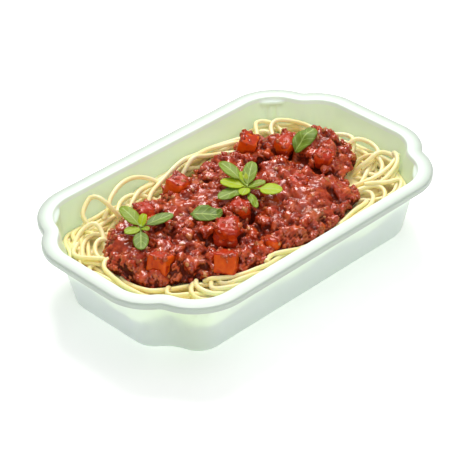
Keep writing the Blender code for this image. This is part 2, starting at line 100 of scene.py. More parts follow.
def add_values(made, name, values):
    """Stores one number per point under a name that a material can read."""
    layer = made.data.attributes.new(name, "FLOAT", "POINT")
    layer.data.foreach_set("value", np.asarray(values, dtype=np.float32))


def places(made):
    """The points of a piece as an array in millimetres."""
    flat = np.empty(len(made.data.vertices) * 3)
    made.data.vertices.foreach_get("co", flat)
    return flat.reshape(-1, 3) / MM


# %% [markdown]
# ## Node helpers
# A material is a small machine of nodes. Each helper here adds one node, feeds its inputs and
# returns the node with the name of its output, so each material below reads like a recipe.


# %% Node helpers
def new_finish(name):
    """An empty material with a Principled shader; returns the material, its tree and shader."""
    finish = bpy.data.materials.new(name)
    finish.use_nodes = True
    tree = finish.node_tree
    return finish, tree, tree.nodes["Principled BSDF"]


def feed(tree, node, socket, source):
    """Links a (node, output) pair to an input, or sets any other source as its value."""
    if isinstance(source, tuple) and isinstance(source[0], bpy.types.Node):
        tree.links.new(source[0].outputs[source[1]], node.inputs[socket])
    else:
        node.inputs[socket].default_value = source


def put(tree, kind, output, inputs, **settings):
    """Adds a node with its settings and inputs."""
    node = tree.nodes.new(kind)
    for key, value in settings.items():
        setattr(node, key, value)
    for socket, source in inputs.items():
        feed(tree, node, socket, source)
    return node, output


def mask(tree, name):
    """Reads a number that is stored at each point of a piece."""
    return put(tree, "ShaderNodeAttribute", "Fac", {}, attribute_name=name)


def maths(tree, operation, *sources):
    return put(tree, "ShaderNodeMath", 0, dict(enumerate(sources)), operation=operation)


def blend(tree, share, first, second, **settings):
    """Mixes two colours; only the first shows where the share is 0."""
    return put(tree, "ShaderNodeMix", 2, {0: share, 6: first, 7: second}, data_type="RGBA", **settings)


def colour_ramp(tree, source, stops):
    """Turns a number into a colour, with stops given as (position, colour or grey)."""
    node, output = put(tree, "ShaderNodeValToRGB", "Color", {"Fac": source})
    ramp = node.color_ramp
    while len(ramp.elements) < len(stops):
        ramp.elements.new(0.5)
    for element, (position, colour) in zip(ramp.elements, stops):
        element.position = position
        element.color = (*(colour if isinstance(colour, tuple) else (colour,) * 3), 1.0)
    return node, output


def grain(tree, scale, detail=2.0, rough=0.5):
    """Noise on the piece's own coordinates; a scale of 1000 has features about 1 mm across."""
    where = put(tree, "ShaderNodeTexCoord", "Object", {})
    return put(tree, "ShaderNodeTexNoise", "Fac",
               {"Vector": where, "Scale": scale, "Detail": detail, "Roughness": rough})


def relief(tree, source, distance, strength):
    """Turns a value into small bumps."""
    return put(tree, "ShaderNodeBump", "Normal",
               {"Height": source, "Distance": distance, "Strength": strength})


def coat(tree, shader, **inputs):
    """Feeds inputs of the shader; an underscore in a name stands for a space."""
    for name, source in inputs.items():
        feed(tree, shader, name.replace("_", " "), source)


# %% [markdown]
# ## The tray's outline
# The tray is drawn from one warm sheet over a mould, so it has one wall thickness and soft
# corners. Seen from above, each corner has two round lobes with a small notch between them. A
# quarter of the outline is three arcs that run into each other, and mirrors give the rest.

# %% The tray's outline
TRAY_LENGTH, TRAY_WIDTH, TRAY_HEIGHT = 200.0, 125.3, 37.5
WALL, RIM_WIDTH, SKIRT = 0.8, 7.6, 3.1
BASE_INSET, BASE_ROUND = 14.9, 6.0
END_LOBE, END_LOBE_Y = 26.2, 18.7
SIDE_LOBE, SIDE_LOBE_X, NOTCH = 27.7, 60.8, 7.3


def arc(centre, radius, start, end, steps):
    """Points of an arc and the directions away from its centre."""
    angles = np.radians(np.linspace(start, end, steps + 1))
    away = np.c_[np.cos(angles), np.sin(angles)]
    return np.array(centre) + radius * away, away


def rim_outline(end_steps, notch_steps, side_steps):
    """Points of the rim's outer outline and the outward direction at each."""
    end_centre = np.array((TRAY_LENGTH / 2 - END_LOBE, END_LOBE_Y))
    side_centre = np.array((SIDE_LOBE_X, TRAY_WIDTH / 2 - SIDE_LOBE))
    between = side_centre - end_centre
    apart = np.hypot(*between)
    to_end, to_side = END_LOBE + NOTCH, SIDE_LOBE + NOTCH
    along = (to_end ** 2 - to_side ** 2 + apart ** 2) / (2 * apart)
    out = math.sqrt(to_end ** 2 - along ** 2)
    unit = between / apart
    notch_centre = end_centre + unit * along + np.array((unit[1], -unit[0])) * out
    leave = math.degrees(math.atan2(*(notch_centre - end_centre)[::-1]))
    enter = math.degrees(math.atan2(*(notch_centre - side_centre)[::-1]))
    end_points, end_away = arc(end_centre, END_LOBE, 0, leave, end_steps)
    notch_points, notch_away = arc(notch_centre, NOTCH, leave + 180, enter + 180, notch_steps)
    side_points, side_away = arc(side_centre, SIDE_LOBE, enter, 90, side_steps)
    points = np.vstack((end_points, notch_points[1:-1], side_points))
    away = np.vstack((end_away, -notch_away[1:-1], side_away))
    quarters = []
    for flip, order in (((1, 1), 1), ((-1, 1), -1), ((-1, -1), 1), ((1, -1), -1)):
        quarters.append((points[::order] * flip, away[::order] * flip))
    return np.vstack([q[0] for q in quarters]), np.vstack([q[1] for q in quarters])


WALL_LEAN = math.atan((BASE_INSET - RIM_WIDTH + WALL) / TRAY_HEIGHT)


def inside_inset(height):
    """How far the inner wall is inside the rim's outer outline at a height."""
    return RIM_WIDTH + (TRAY_HEIGHT - height) * math.tan(WALL_LEAN)


outline_points, outline_away = rim_outline(22, 10, 24)
print("outline points:", len(outline_points), "size:", np.ptp(outline_points, axis=0).round(1))

# %% [markdown]
# ## The tray's section
# A cut through the wall is a line that goes from the underside of the base up the outer wall,
# over the rim and its turned-down edge, and down the inner wall to the floor. Each corner of the
# line is rounded, because a warm sheet can't fold sharply.


# %% The tray's section
def rounded(corners, steps):
    """A line through (inset, height, radius) corners with round bends, without its two ends."""
    line = []
    for before, corner, after in zip(corners, corners[1:], corners[2:]):
        here, radius = np.array(corner[:2]), corner[2]
        if not radius:
            line.append(here)
            continue
        back, ahead = np.array(before[:2]) - here, np.array(after[:2]) - here
        back, ahead = back / np.hypot(*back), ahead / np.hypot(*ahead)
        half = math.acos(np.clip(back @ ahead, -1, 1)) / 2
        middle = (back + ahead) / np.hypot(*(back + ahead))
        centre = here + middle * radius / math.sin(half)
        first = here + back * radius / math.tan(half) - centre
        last = here + ahead * radius / math.tan(half) - centre
        sweep = math.atan2(first[0] * last[1] - first[1] * last[0], first @ last)
        for turn in np.linspace(0, sweep, steps + 1):
            line.append(centre + (first[0] * math.cos(turn) - first[1] * math.sin(turn),
                                  first[0] * math.sin(turn) + first[1] * math.cos(turn)))
    return line


across = WALL / math.cos(WALL_LEAN)
under_rim = TRAY_HEIGHT - WALL
LUG_HEIGHTS = (24.5, 26.0, 27.5, 31.0, 33.2, 33.8, 34.2, 35.0, 35.4, 35.8)
outer_wall = [(inside_inset(z) - across, z, 0) for z in LUG_HEIGHTS]
inner_wall = [(inside_inset(z), z, 0) for z in reversed(LUG_HEIGHTS)]
tray_section = rounded((
    (BASE_INSET + 30, 0, 0), (BASE_INSET, 0, BASE_ROUND), *outer_wall,
    (inside_inset(under_rim) - across, under_rim, 0.3), (WALL, under_rim, 0.3),
    (WALL, TRAY_HEIGHT - SKIRT, 0), (0, TRAY_HEIGHT - SKIRT, 0), (0, TRAY_HEIGHT, 1.0),
    (RIM_WIDTH, TRAY_HEIGHT, 0.9), *inner_wall,
    (inside_inset(WALL), WALL, BASE_ROUND - WALL), (BASE_INSET + 30, WALL, 0)), 5)
print("section points:", len(tray_section))

# %% [markdown]
# ## The tray's body
# A ring of points is laid on the outline and pushed through the section, one extrusion after
# another. In the four corners the wall steps in to a small ledge on two ribs, which lets
# stacked empty trays come apart again. The mould shapes both faces of the sheet, so the same push
# moves the inner and the outer wall. Three masks for painted light and shade are stored on the way.


# %% A ring pushed through a section
def swept(name, outline, section, masks=(), settle=None):
    """Pushes a ring on an outline through a section, and settle may move and mask its points."""
    points, away = outline
    bm = bmesh.new()
    place = bm.verts.layers.int.new("place")
    layers = [bm.verts.layers.float.new(layer_name) for layer_name in masks]
    bmesh.ops.create_circle(bm, segments=len(points), radius=1)
    bm.verts.ensure_lookup_table()
    for k, vert in enumerate(bm.verts):
        vert[place] = k
    ring, edges = bm.verts[:], bm.edges[:]
    first = edges
    for step, (inset, height) in enumerate(section):
        if step:
            grown = bmesh.ops.extrude_edge_only(bm, edges=edges)["geom"]
            ring = [g for g in grown if isinstance(g, bmesh.types.BMVert)]
            fresh = set(ring)
            edges = [g for g in grown if isinstance(g, bmesh.types.BMEdge)
                     and g.verts[0] in fresh and g.verts[1] in fresh]
        for vert in ring:
            n = vert[place]
            spot, values = points[n] - away[n] * inset, ()
            if settle:
                spot, values = settle(spot, away[n], step, inset, height)
            vert.co = (*spot, height)
            for layer, value in zip(layers, values):
                vert[layer] = value
    bmesh.ops.contextual_create(bm, geom=first)
    bmesh.ops.contextual_create(bm, geom=edges)
    bmesh.ops.recalc_face_normals(bm, faces=bm.faces)
    return to_mesh(name, bm)


# %% The tray's body
LUG_FROM, LUG_TO, LUG_DEEP = 30.0, 68.0, 1.8
LUG_FOOT, LUG_LEDGE, LUG_TOP = 24.5, 33.5, 35.6
CREST = max(range(len(tray_section)), key=lambda k: tray_section[k][1])
CREST_STEPS = 8
WALL_FROM = 2
# where the painted corner shade lies: round the corners where pasta lies behind the wall
CORNER_SHADE_X, CORNER_SHADE_Y, CORNER_SHADE_REACH = 84, 48, 20


def lug_push(spot, height):
    """How far the wall is pressed in at a place by a corner ledge and its ribs."""
    corner = np.array((SIDE_LOBE_X, TRAY_WIDTH / 2 - SIDE_LOBE))
    x, y = np.abs(spot) - corner
    turn = math.degrees(math.atan2(y, x))
    share = (turn - LUG_FROM) / (LUG_TO - LUG_FROM)
    if not 0 < share < 1 or not LUG_FOOT < height < LUG_TOP:
        return 0.0
    ledge = LUG_DEEP * math.sin(math.pi * share) ** 0.6
    if height > LUG_LEDGE:
        return ledge * min(1, (LUG_TOP - height) / 0.4)
    rib = max(math.exp(-((share - at) / 0.09) ** 2) for at in (0.3, 0.7))
    return ledge * 0.75 * rib * min(1, (height - LUG_FOOT) / 5.0)


def settle_tray(spot, outward, step, inset, height):
    """Presses a corner ledge in; masks: painted light inside, painted shade on rim and corners."""
    push = lug_push(spot, height) if inset > WALL_FROM else 0.0
    inner = step > CREST + CREST_STEPS
    on_rim = inset < RIM_WIDTH - 0.8 and height > TRAY_HEIGHT - SKIRT - 0.5
    corner_away = math.hypot(abs(spot[0]) - CORNER_SHADE_X, abs(spot[1]) - CORNER_SHADE_Y)
    outside = inset > WALL_FROM and step < CREST
    # painted shade and painted yellow light on the outer wall where the pasta lies behind it
    painted_corner_shade = math.exp(-(corner_away / CORNER_SHADE_REACH) ** 2) if outside else 0.0
    return spot - outward * push, (float(inner), float(on_rim), painted_corner_shade)


tray = swept("tray_shell", (outline_points, outline_away), tray_section, ("inside", "rim", "painted_corner_shade"),
             settle_tray)
print("tray box:", places(tray).min(0).round(2), places(tray).max(0).round(2))

# %% [markdown]
# ## Milky plastic
# The tray is pale mint plastic that lets some light through: the wall glows where light falls on
# it from behind, and subsurface scattering gives the glow. A mask on the inner faces paints them
# greener and yellower, a painted glow for the light that the pasta throws on them. In the corners,
# where the pasta lies against the wall, a second mask paints the outside darker and yellower:
# painted shade where the pasta blocks light, and painted yellow light that comes through from it.
# A third paints the rim greyer, a painted shade that holds back the lamps that strike it from above.

# %% Milky plastic
finish, tree, shader = new_finish("milky_mint_plastic")
# painted light: the inner faces get a greener, yellower colour for the light the pasta throws on them
sides_with_painted_glow = blend(tree, mask(tree, "inside"), (0.75, 0.905, 0.785, 1), (0.72, 0.93, 0.66, 1))
# painted shade: the outer corners darker and yellower where the pasta blocks light behind the wall
with_painted_corner_shade = blend(tree, mask(tree, "painted_corner_shade"), sides_with_painted_glow, (0.59, 0.735, 0.51, 1))
# painted shade: the rim gets a greyer colour to hold back the lamps that strike it from above
with_painted_rim_shade = blend(tree, mask(tree, "rim"), with_painted_corner_shade, (0.43, 0.475, 0.445, 1))
cloudy = colour_ramp(tree, grain(tree, 30.0), ((0.35, (0.95, 0.97, 0.95)), (0.65, 1.0)))
tint = blend(tree, 0.35, with_painted_rim_shade, cloudy, blend_type="MULTIPLY")
coat(tree, shader, Base_Color=tint, Roughness=0.36, IOR=1.49, Subsurface_Weight=0.5,
     Subsurface_Radius=(0.85, 1.0, 0.65), Subsurface_Scale=0.005,
     Normal=relief(tree, grain(tree, 900.0, 3.0), 0.00005, 0.25))
dress(tray, "tray", finish, "tray")

# %% [markdown]
# ## Laying spaghetti
# Cooked spaghetti is limp: a strand lies on what is under it and bridges small gaps. The trick
# here is a height map. Each strand starts as a flat curve. It is lowered until it rests on
# the map, its dips are pulled straight like a soft string, and then its round top is printed into
# the map for the next strand. So strands really lie over each other and never pass through.

# %% Laying spaghetti
RADIUS = 1.2
CELL = 0.5
MAP_X, MAP_Y = 95.0, 60.0
STEP = 1.9
BED_LEVEL = 26.0
SAUCE_OUTLINE = (
    (-76, -11), (-77, 2), (-74, 13), (-66, 23), (-57, 29), (-46, 32), (-34, 32.5), (-23, 32),
    (-16, 35), (-9, 38), (0, 35), (5, 36), (12, 38.5), (21, 37), (30, 34.5), (37, 38), (45, 39),
    (55, 34), (64, 27), (71, 19), (75.5, 10), (77, 0), (73, -9), (64, -15), (55, -19), (53, -28),
    (48, -35), (36, -39), (24, -43), (8, -45), (-6, -44), (-16, -39), (-26, -43), (-38, -42),
    (-45, -34), (-53, -27), (-63, -22), (-72, -18))


def evenly(line, step):
    """Points a step apart along a line."""
    run = np.r_[0, np.cumsum(np.linalg.norm(np.diff(line, axis=0), axis=1))]
    at = np.linspace(0, run[-1], max(3, round(run[-1] / step)) + 1)
    return np.stack([np.interp(at, run, line[:, k]) for k in range(line.shape[1])], axis=1)


def smooth_path(knots, step, closed=False):
    """A smooth curve through the knots, with points a step apart."""
    knots = np.array(knots, dtype=float)
    if closed:
        padded = np.vstack((knots[-1], knots, knots[:2]))
    else:
        padded = np.vstack((2 * knots[0] - knots[1], knots, 2 * knots[-1] - knots[-2]))
    fine = []
    for a, b, c, d in zip(padded, padded[1:], padded[2:], padded[3:]):
        for t in np.arange(0, 1, 0.1):
            fine.append(0.5 * (2 * b + (c - a) * t + (2 * a - 5 * b + 4 * c - d) * t * t
                               + (3 * b - 3 * c + d - a) * t ** 3))
    fine.append(fine[0] if closed else knots[-1])
    even = evenly(np.array(fine), step)
    return even[:-1] if closed else even


def distance_field(loop):
    """Maps of the distance to a closed loop, positive inside, and of its nearest place."""
    xs = np.arange(-MAP_X, MAP_X, CELL) + CELL / 2
    ys = np.arange(-MAP_Y, MAP_Y, CELL) + CELL / 2
    along = np.roll(loop, -1, axis=0) - np.roll(loop, 1, axis=0)
    along /= np.linalg.norm(along, axis=1)[:, None]
    outward = np.c_[along[:, 1], -along[:, 0]]
    tree = KDTree(len(loop))
    for k, point in enumerate(loop):
        tree.insert((*point, 0), k)
    tree.balance()
    field = np.empty((len(xs), len(ys)))
    nearest = np.empty((len(xs), len(ys)), dtype=int)
    for i, x in enumerate(xs):
        for j, y in enumerate(ys):
            _, k, _ = tree.find((x, y, 0))
            field[i, j] = (loop[k] - (x, y)) @ outward[k]
            nearest[i, j] = k
    return field, nearest


def look_up(field, x, y):
    """The values of a map at places in millimetres."""
    i = np.clip(((np.asarray(x) + MAP_X) / CELL).astype(int), 0, field.shape[0] - 1)
    j = np.clip(((np.asarray(y) + MAP_Y) / CELL).astype(int), 0, field.shape[1] - 1)
    return field[i, j]


sauce_edge = smooth_path(SAUCE_OUTLINE, 1.0, closed=True)[::-1]
wall_line = outline_points - outline_away * inside_inset(BED_LEVEL)
wall_edge = evenly(np.vstack((wall_line, wall_line[:1])), 1.0)[:-1]
to_wall, wall_place = distance_field(wall_edge)
under_sauce, _ = distance_field(sauce_edge)
along = np.roll(wall_edge, -1, axis=0) - np.roll(wall_edge, 1, axis=0)
wall_in = np.c_[-along[:, 1], along[:, 0]] / np.linalg.norm(along, axis=1)[:, None]
print("room between sauce and wall, mm:", round(float((to_wall[under_sauce < 0]).max()), 1))

# %% [markdown]
# ## Resting one strand
# A strand is a row of balls on a string. A ball touches the map at the highest point of what is
# under it. Pulling each dip halfway towards its neighbours gives the strand some stiffness, and
# a strand that has slid against the wall is pushed back from it.

# %% Resting one strand
reach = int(RADIUS / CELL)
disc = [(i, j, math.sqrt(RADIUS ** 2 - (i * i + j * j) * CELL ** 2))
        for i in range(-reach, reach + 1) for j in range(-reach, reach + 1)
        if (i * i + j * j) * CELL ** 2 < RADIUS ** 2]
disc_i = np.array([d[0] for d in disc])
disc_j = np.array([d[1] for d in disc])
disc_z = np.array([d[2] for d in disc])
BED = 17.5
SINK = 0.75
surface = np.full(to_wall.shape, BED)
surface[under_sauce > 4] = BED - 1.5   # sauce covers the middle, which can lie lower


def off_the_wall(path, height=BED_LEVEL):
    """Moves the points of a flat path in from the tray's leaning wall at their heights."""
    room = RADIUS + 0.1 + np.maximum(BED_LEVEL - height + 0.5, 0) * math.tan(WALL_LEAN)
    near = look_up(to_wall, path[:, 0], path[:, 1])
    at = look_up(wall_place, path[:, 0], path[:, 1])
    close = near < room
    path[close, :2] = (wall_edge[at] + wall_in[at] * np.broadcast_to(room, len(path))[:, None])[close]
    return path


def cells_under(path):
    """The cells of the map below a ball at each point of a path."""
    i = ((path[:, 0] + MAP_X) / CELL).astype(int)[:, None] + disc_i
    j = ((path[:, 1] + MAP_Y) / CELL).astype(int)[:, None] + disc_j
    return np.clip(i, 0, surface.shape[0] - 1), np.clip(j, 0, surface.shape[1] - 1)


def rest(path, stiff=60, sag=0.03):
    """Lowers a flat path on to the map and returns its points with heights."""
    i, j = cells_under(path)
    floor = (surface[i, j] + disc_z).max(axis=1) - SINK
    height = floor.copy()
    for _ in range(stiff):
        pulled = height.copy()
        pulled[1:-1] = (height[:-2] + height[2:]) / 2 - sag
        height = np.maximum(floor, pulled)
    height[1:-1] = (height[:-2] + 2 * height[1:-1] + height[2:]) / 4
    return np.c_[path[:, :2], height]


def print_into_map(strand):
    """Adds a strand's round top to the map."""
    i, j = cells_under(strand)
    np.maximum.at(surface, (i, j), strand[:, 2:3] + disc_z)


strands = []


def lay(knots, extra=None):
    """Lays one strand over flat knots; extra heights lift it off its rest in an arch."""
    path = off_the_wall(smooth_path(knots, STEP))[:, :2]
    strand = rest(path)
    for _ in range(2):
        path = off_the_wall(path, strand[:, 2])
        path[1:-1] = (path[:-2] + 2 * path[1:-1] + path[2:]) / 4
        strand = rest(path)
    if extra is not None:
        share = np.linspace(0, 1, len(strand))
        strand[:, 2] += np.interp(share, np.linspace(0, 1, len(extra)), extra)
        strand[1:-1] = (strand[:-2] + 2 * strand[1:-1] + strand[2:]) / 4
    print_into_map(strand)
    strands.append(strand)


# %% [markdown]
# ## The bed of spaghetti
# Most strands follow the wall in long lazy curves and dive under the sauce, and others come
# out from under it, turn at the wall and go back. They are drawn by chance from a fixed seed, so the
# bed is the same each time.

# %% The bed of spaghetti
BED_TOP, CROSSINGS, MOST_STRANDS = 22.2, 12, 150
draw = random.Random(4)
loop_count = len(wall_edge)
band = (to_wall > 1.5) & (under_sauce < 0)


def along_wall(start, length, insets):
    """Knots beside the wall, from a start along it, at changing distances from it."""
    knots = []
    for k, inset in enumerate(insets):
        at = int(start + length * k / (len(insets) - 1)) % loop_count
        knots.append(wall_edge[at] + wall_in[at] * inset)
    return np.array(knots)


def long_follower():
    """A strand that winds along the wall."""
    base, swing = draw.uniform(2, 15), draw.uniform(1, 4)
    turn, waves = draw.uniform(0, 6.3), draw.uniform(0.5, 1.1)
    insets = [max(1.4, base + swing * math.sin(turn + waves * k)) for k in range(9)]
    way = draw.choice((-1, 1))
    return along_wall(draw.uniform(0, loop_count), way * draw.uniform(90, 170), insets)


def turn_back():
    """A strand that comes from below the sauce, runs beside the wall and goes back."""
    deep, near = draw.uniform(17, 28), draw.uniform(1.5, 9)
    insets = (deep, near + (deep - near) * 0.45, near + 1.0, near, near + draw.uniform(0, 2),
              near + (deep - near) * 0.5, deep)
    return along_wall(draw.uniform(0, loop_count), draw.choice((-1, 1)) * draw.uniform(55, 110), insets)


def crossing():
    """A strand that runs across below the sauce and shows only near its ends."""
    a = draw.uniform(0, loop_count)
    b = a + loop_count * draw.uniform(0.3, 0.7)
    one = wall_edge[int(a) % loop_count] + wall_in[int(a) % loop_count] * draw.uniform(2, 9)
    two = wall_edge[int(b) % loop_count] + wall_in[int(b) % loop_count] * draw.uniform(2, 9)
    middle = (one + two) / 2 + (draw.uniform(-15, 15), draw.uniform(-12, 12))
    return np.array((one, (one * 2 + middle) / 3, middle, (two * 2 + middle) / 3, two))


def lowest(kinds, tries=8):
    """Draws a few strands and keeps the one that would lie lowest, so the bed fills evenly."""
    tried = [kinds[k % len(kinds)]() for k in range(tries)]
    return min(tried, key=lambda knots: look_up(surface, *smooth_path(knots, 4)[:, :2].T).max())


for _ in range(CROSSINGS):
    lay(crossing())
while surface[band].mean() < BED_TOP and len(strands) < MOST_STRANDS:
    lay(lowest((long_follower, turn_back)))
print("strands:", len(strands), "bed height, mm:", surface[band].mean().round(1),
      surface[band].max().round(1))

# %% [markdown]
# ## The strands that catch the eye
# A few strands give this meal its own look: two that stand up in arches at the back left, arcs that
# lean on the wall, and long ones that hug the foot of the sauce. They are laid last, each over
# its own knots, and some are lifted into an arch.

# %% The strands that catch the eye
STANDING = (
    ((-60.5, 40.5, 27), (-60.3, 44.8, 30), (-58.0, 47.2, 32), (-54.0, 48.9, 34), (-51.0, 49.2, 35.3),
     (-49.3, 45.8, 35.8), (-48.0, 42.6, 34), (-46.0, 38.8, 30), (-44.5, 37.0, 26.5)),
    ((-52, 40, 27), (-46.5, 42.5, 29.5), (-42.5, 45.5, 31.5), (-35, 48.5, 33.3), (-27, 50.0, 33.6),
     (-19.5, 49.3, 32), (-13.5, 45.5, 29), (-11, 40, 26)))
ARCS = (
    (((-61, 35.5), (-55, 38.5), (-47, 40), (-40, 39.5), (-33, 36), (-28, 30)), (0, 1, 1.5, 1, 0)),
    (((-43, 40), (-38, 44), (-31, 45), (-24, 42), (-20, 34)), (0, 2, 3, 1.5, 0)),
    (((-80, 27), (-77.5, 33), (-70.5, 37.5), (-65, 38.5), (-61, 37), (-60, 33), (-62.5, 28), (-67, 21),
      (-69, 14)), (0, 1, 2.5, 3, 2, 1, 0)),
    (((-60, 22), (-66, 28), (-73, 22), (-74, 13)), (0, 1, 0.5)),
    (((-70, 12), (-76, 16.5), (-82, 25), (-80, 30), (-74, 33.5)), (0, 1.0, 1, 0)),
    (((-71, 14), (-78, 11), (-79.5, 4), (-81, -4), (-82, -12), (-80, -20), (-74, -25)), (0, 0.5, 0)),
    (((-73, 6), (-77.5, -3), (-78, -10), (-77, -18), (-71, -22.5), (-63, -25), (-56, -27.5), (-51, -32),
      (-46, -37.5), (-40, -43)), (0, 1, 1.2, 1, 0.6, 0.6, 0)),
    (((-66, -22), (-73, -27), (-68, -32), (-61, -37), (-54, -41)), (0, 0.6, 0)),
    (((-57, -28), (-63, -33), (-66, -38), (-60, -43), (-50, -44.5)), (0, 0.8, 0.5, 0)),
    (((-55, -28), (-60, -34), (-59, -41), (-51, -45), (-40, -46)), (0, 1, 0.8, 0)),
    (((-50, -33), (-55, -38), (-53, -43), (-46, -46), (-36, -45.5), (-28, -43)), (0, 0.8, 0.5, 0)),
    (((-47, -34), (-49, -40), (-44, -45), (-34, -46.5), (-22, -46.5), (-12, -45)), (0, 0.8, 0.4, 0)),
    (((-52, -30), (-47, -36), (-40, -42), (-30, -44.5), (-20, -43.5), (-12, -42), (-4, -44)),
     (0, 1, 1, 0.6)),
    (((-46, 28), (-38, 37), (-20, 44.5), (0, 46), (15, 47.5), (32, 47.5), (47, 42), (56, 34)),
     (0, 1.5, 2, 2.5, 2, 1, 0)),
    (((-30, 33), (-20, 40), (-4, 44), (12, 45), (26, 45.5), (38, 43), (46, 38)), (0, 1.5, 2, 1, 0)),
    (((-8, 38), (4, 42), (16, 42.5), (28, 42), (36, 38)), (0, 1, 1, 0)),
    (((48, 34), (54, 41), (60, 48), (66, 47), (68, 40), (66, 32), (62, 26)), (0, 1.5, 3, 3, 2, 1, 0)),
    (((58, 32), (62, 39), (67, 42), (74, 38), (79, 30), (80, 20)), (0, 1, 1.5, 1, 0)),
    (((72, 16), (80, 13), (84.5, 8), (84, 1), (78, -3), (71, -6)), (0, 1, 1.8, 1.5, 0.5)),
    (((72, 0), (79, 0.5), (85, -3), (87, -9), (85, -15), (79, -18), (70, -17)), (0, 1.2, 2, 2, 1, 0)),
    (((70, -10), (76, -9), (79, -14), (79, -20), (76, -26), (70, -28), (62, -26)), (0, 0.8, 1, 0.5, 0)),
    (((66, -12), (72, -18), (80, -19), (85, -22), (84, -28), (78, -33), (68, -36)), (0, 0.8, 1, 0.6, 0)),
    (((50, -18), (57, -24), (66, -29), (76, -30), (86, -27.5)), (0, 1.5, 1.5, 0.5)),
    (((52, -24), (60, -31), (70, -34), (80, -32), (86, -24)), (0, 1, 1, 0)),
    (((48, -27), (56, -30), (57, -36), (50, -42), (38, -45), (24, -46), (12, -46.5)), (0, 1, 1, 0.6, 0)),
    (((52, -28), (62, -34), (62, -40), (54, -45), (42, -47.5)), (0, 0.8, 0.6, 0)),
    (((46, -33), (51, -37), (46, -41.5), (34, -43), (22, -43.8), (10, -45)), (0, 1, 0.8, 0.4, 0)),
    (((58, -30), (66, -37), (74, -40), (66, -45), (54, -47)), (0, 0.5, 0)),
    (((-24, -43), (-18, -40), (-10, -43.5), (0, -46.5), (12, -47)), (0, 0.6, 0.3, 0)))
for knots, lift in ARCS:
    lay(knots, lift)
for knots in STANDING:
    strand = smooth_path(knots, STEP)
    strands.append(off_the_wall(strand, strand[:, 2]))
print("all strands:", len(strands), "length, m:", round(sum(len(s) for s in strands) * STEP * MM, 1))

# %% [markdown]
# ## Spaghetti as rods
# One bevelled curve turns every path into a round rod at once, and its mesh becomes a single piece.
# A plain slab of the same dough fills the tray below the strands, where nobody can see single
# ones, so the gaps between strands end in deep gold and not in the tray's floor.


# %% Spaghetti as rods
def rods(paths, name):
    curve = bpy.data.curves.new(name, "CURVE")
    curve.dimensions = "3D"
    curve.bevel_depth = RADIUS * MM
    curve.bevel_resolution = 2
    curve.use_fill_caps = True
    for path in paths:
        line = curve.splines.new("POLY")
        line.points.add(len(path) - 1)
        flat = np.c_[path * MM, np.ones(len(path))].ravel()
        line.points.foreach_set("co", flat)
    holder = bpy.data.objects.new(name, curve)
    bpy.context.scene.collection.objects.link(holder)
    depsgraph = bpy.context.evaluated_depsgraph_get()
    mesh = bpy.data.meshes.new_from_object(holder.evaluated_get(depsgraph))
    bpy.data.objects.remove(holder, do_unlink=True)
    mesh.shade_smooth()
    made = bpy.data.objects.new(name, mesh)
    bpy.context.scene.collection.objects.link(made)
    return made


spaghetti = rods(strands, "spaghetti_strands")
dough = swept("dough_bed", rim_outline(10, 5, 10), ((16.5, 1.1), (14.8, 5.0), (11.8, 18.5), (13.0, 20.2)))

# %% [markdown]
# ## Cooked dough
# Cooked spaghetti is pale cream where light strikes it and deep gold in its gaps, because light
# travels through the dough and comes out yellower. So the colour here is light, and strong
# scattering with a short reach for blue does the rest.

# %% Cooked dough
finish, tree, shader = new_finish("cooked_spaghetti")
dough_tone = colour_ramp(tree, grain(tree, 55.0), (
    (0.30, (0.99, 0.81, 0.36)), (0.55, (0.99, 0.87, 0.49)), (0.75, (0.99, 0.91, 0.61))))
coat(tree, shader, Base_Color=dough_tone, Roughness=0.32, Specular_IOR_Level=0.45,
     Subsurface_Weight=0.4, Subsurface_Radius=(1.0, 0.62, 0.20), Subsurface_Scale=0.0015,
     Normal=relief(tree, grain(tree, 700.0, 3.0), 0.00008, 0.35))
dress(spaghetti, "spaghetti", finish, "spaghetti")
dress(dough, "spaghetti", finish)

# %% [markdown]
# ## Cut vegetables
# The carrot was diced before it was cooked, so its pieces are small cubes with flat faces and
# soft edges. Tomato and mushroom pieces start as the same cube, but noise pulls them out of
# shape. Each cube takes its place from its plain solid. The two near carrots lean back and stand a
# millimetre or two nearer the front. A mask says where sauce clings: on top, round the foot and in
# patches.

# %% Cut vegetables
# Name: length, width and height, turn about Z, tilt, edge roundness and unevenness
DICED = {
    "carrot_front": ((10.0, 9.6, 9.2), -57, -20, 0.9, 0.3),
    "carrot_left": ((9.6, 9.0, 9.4), -72, -18, 1.1, 0.45),
    "carrot_back_left": ((10.0, 9.5, 9.0), 12, 12, 1.4, 0.6),
    "carrot_back": ((10.0, 8.5, 9.0), 35, 20, 1.2, 0.5),
    "carrot_rear": ((11.0, 9.0, 8.0), 10, 18, 1.6, 0.6),
    "carrot_middle": ((9.5, 8.5, 8.0), 15, 10, 1.4, 0.5),
    "carrot_low": ((6.8, 6.8, 6.8), 10, 5, 2.6, 0.4),
    "tomato_middle": ((12.5, 11.0, 10.0), 38, 2, 2.4, 1.9),
    "tomato_centre": ((9.5, 9.5, 10.0), 30, 4, 2.0, 1.3),
    "tomato_left": ((10.5, 9.0, 8.5), 70, 10, 2.2, 1.0),
    "tomato_right": ((9.0, 8.5, 8.5), 40, 14, 2.2, 1.0),
    "mushroom_left": ((8.5, 7.5, 7.5), 25, 10, 2.6, 0.7)}
# How far a cube is moved from the middle of its plain solid
SUNK = Vector((0, 0, -0.8))
NUDGED = {"carrot_front": Vector((-1.1, -1.2, -0.9)), "carrot_left": Vector((-0.5, -0.6, -0.4))}


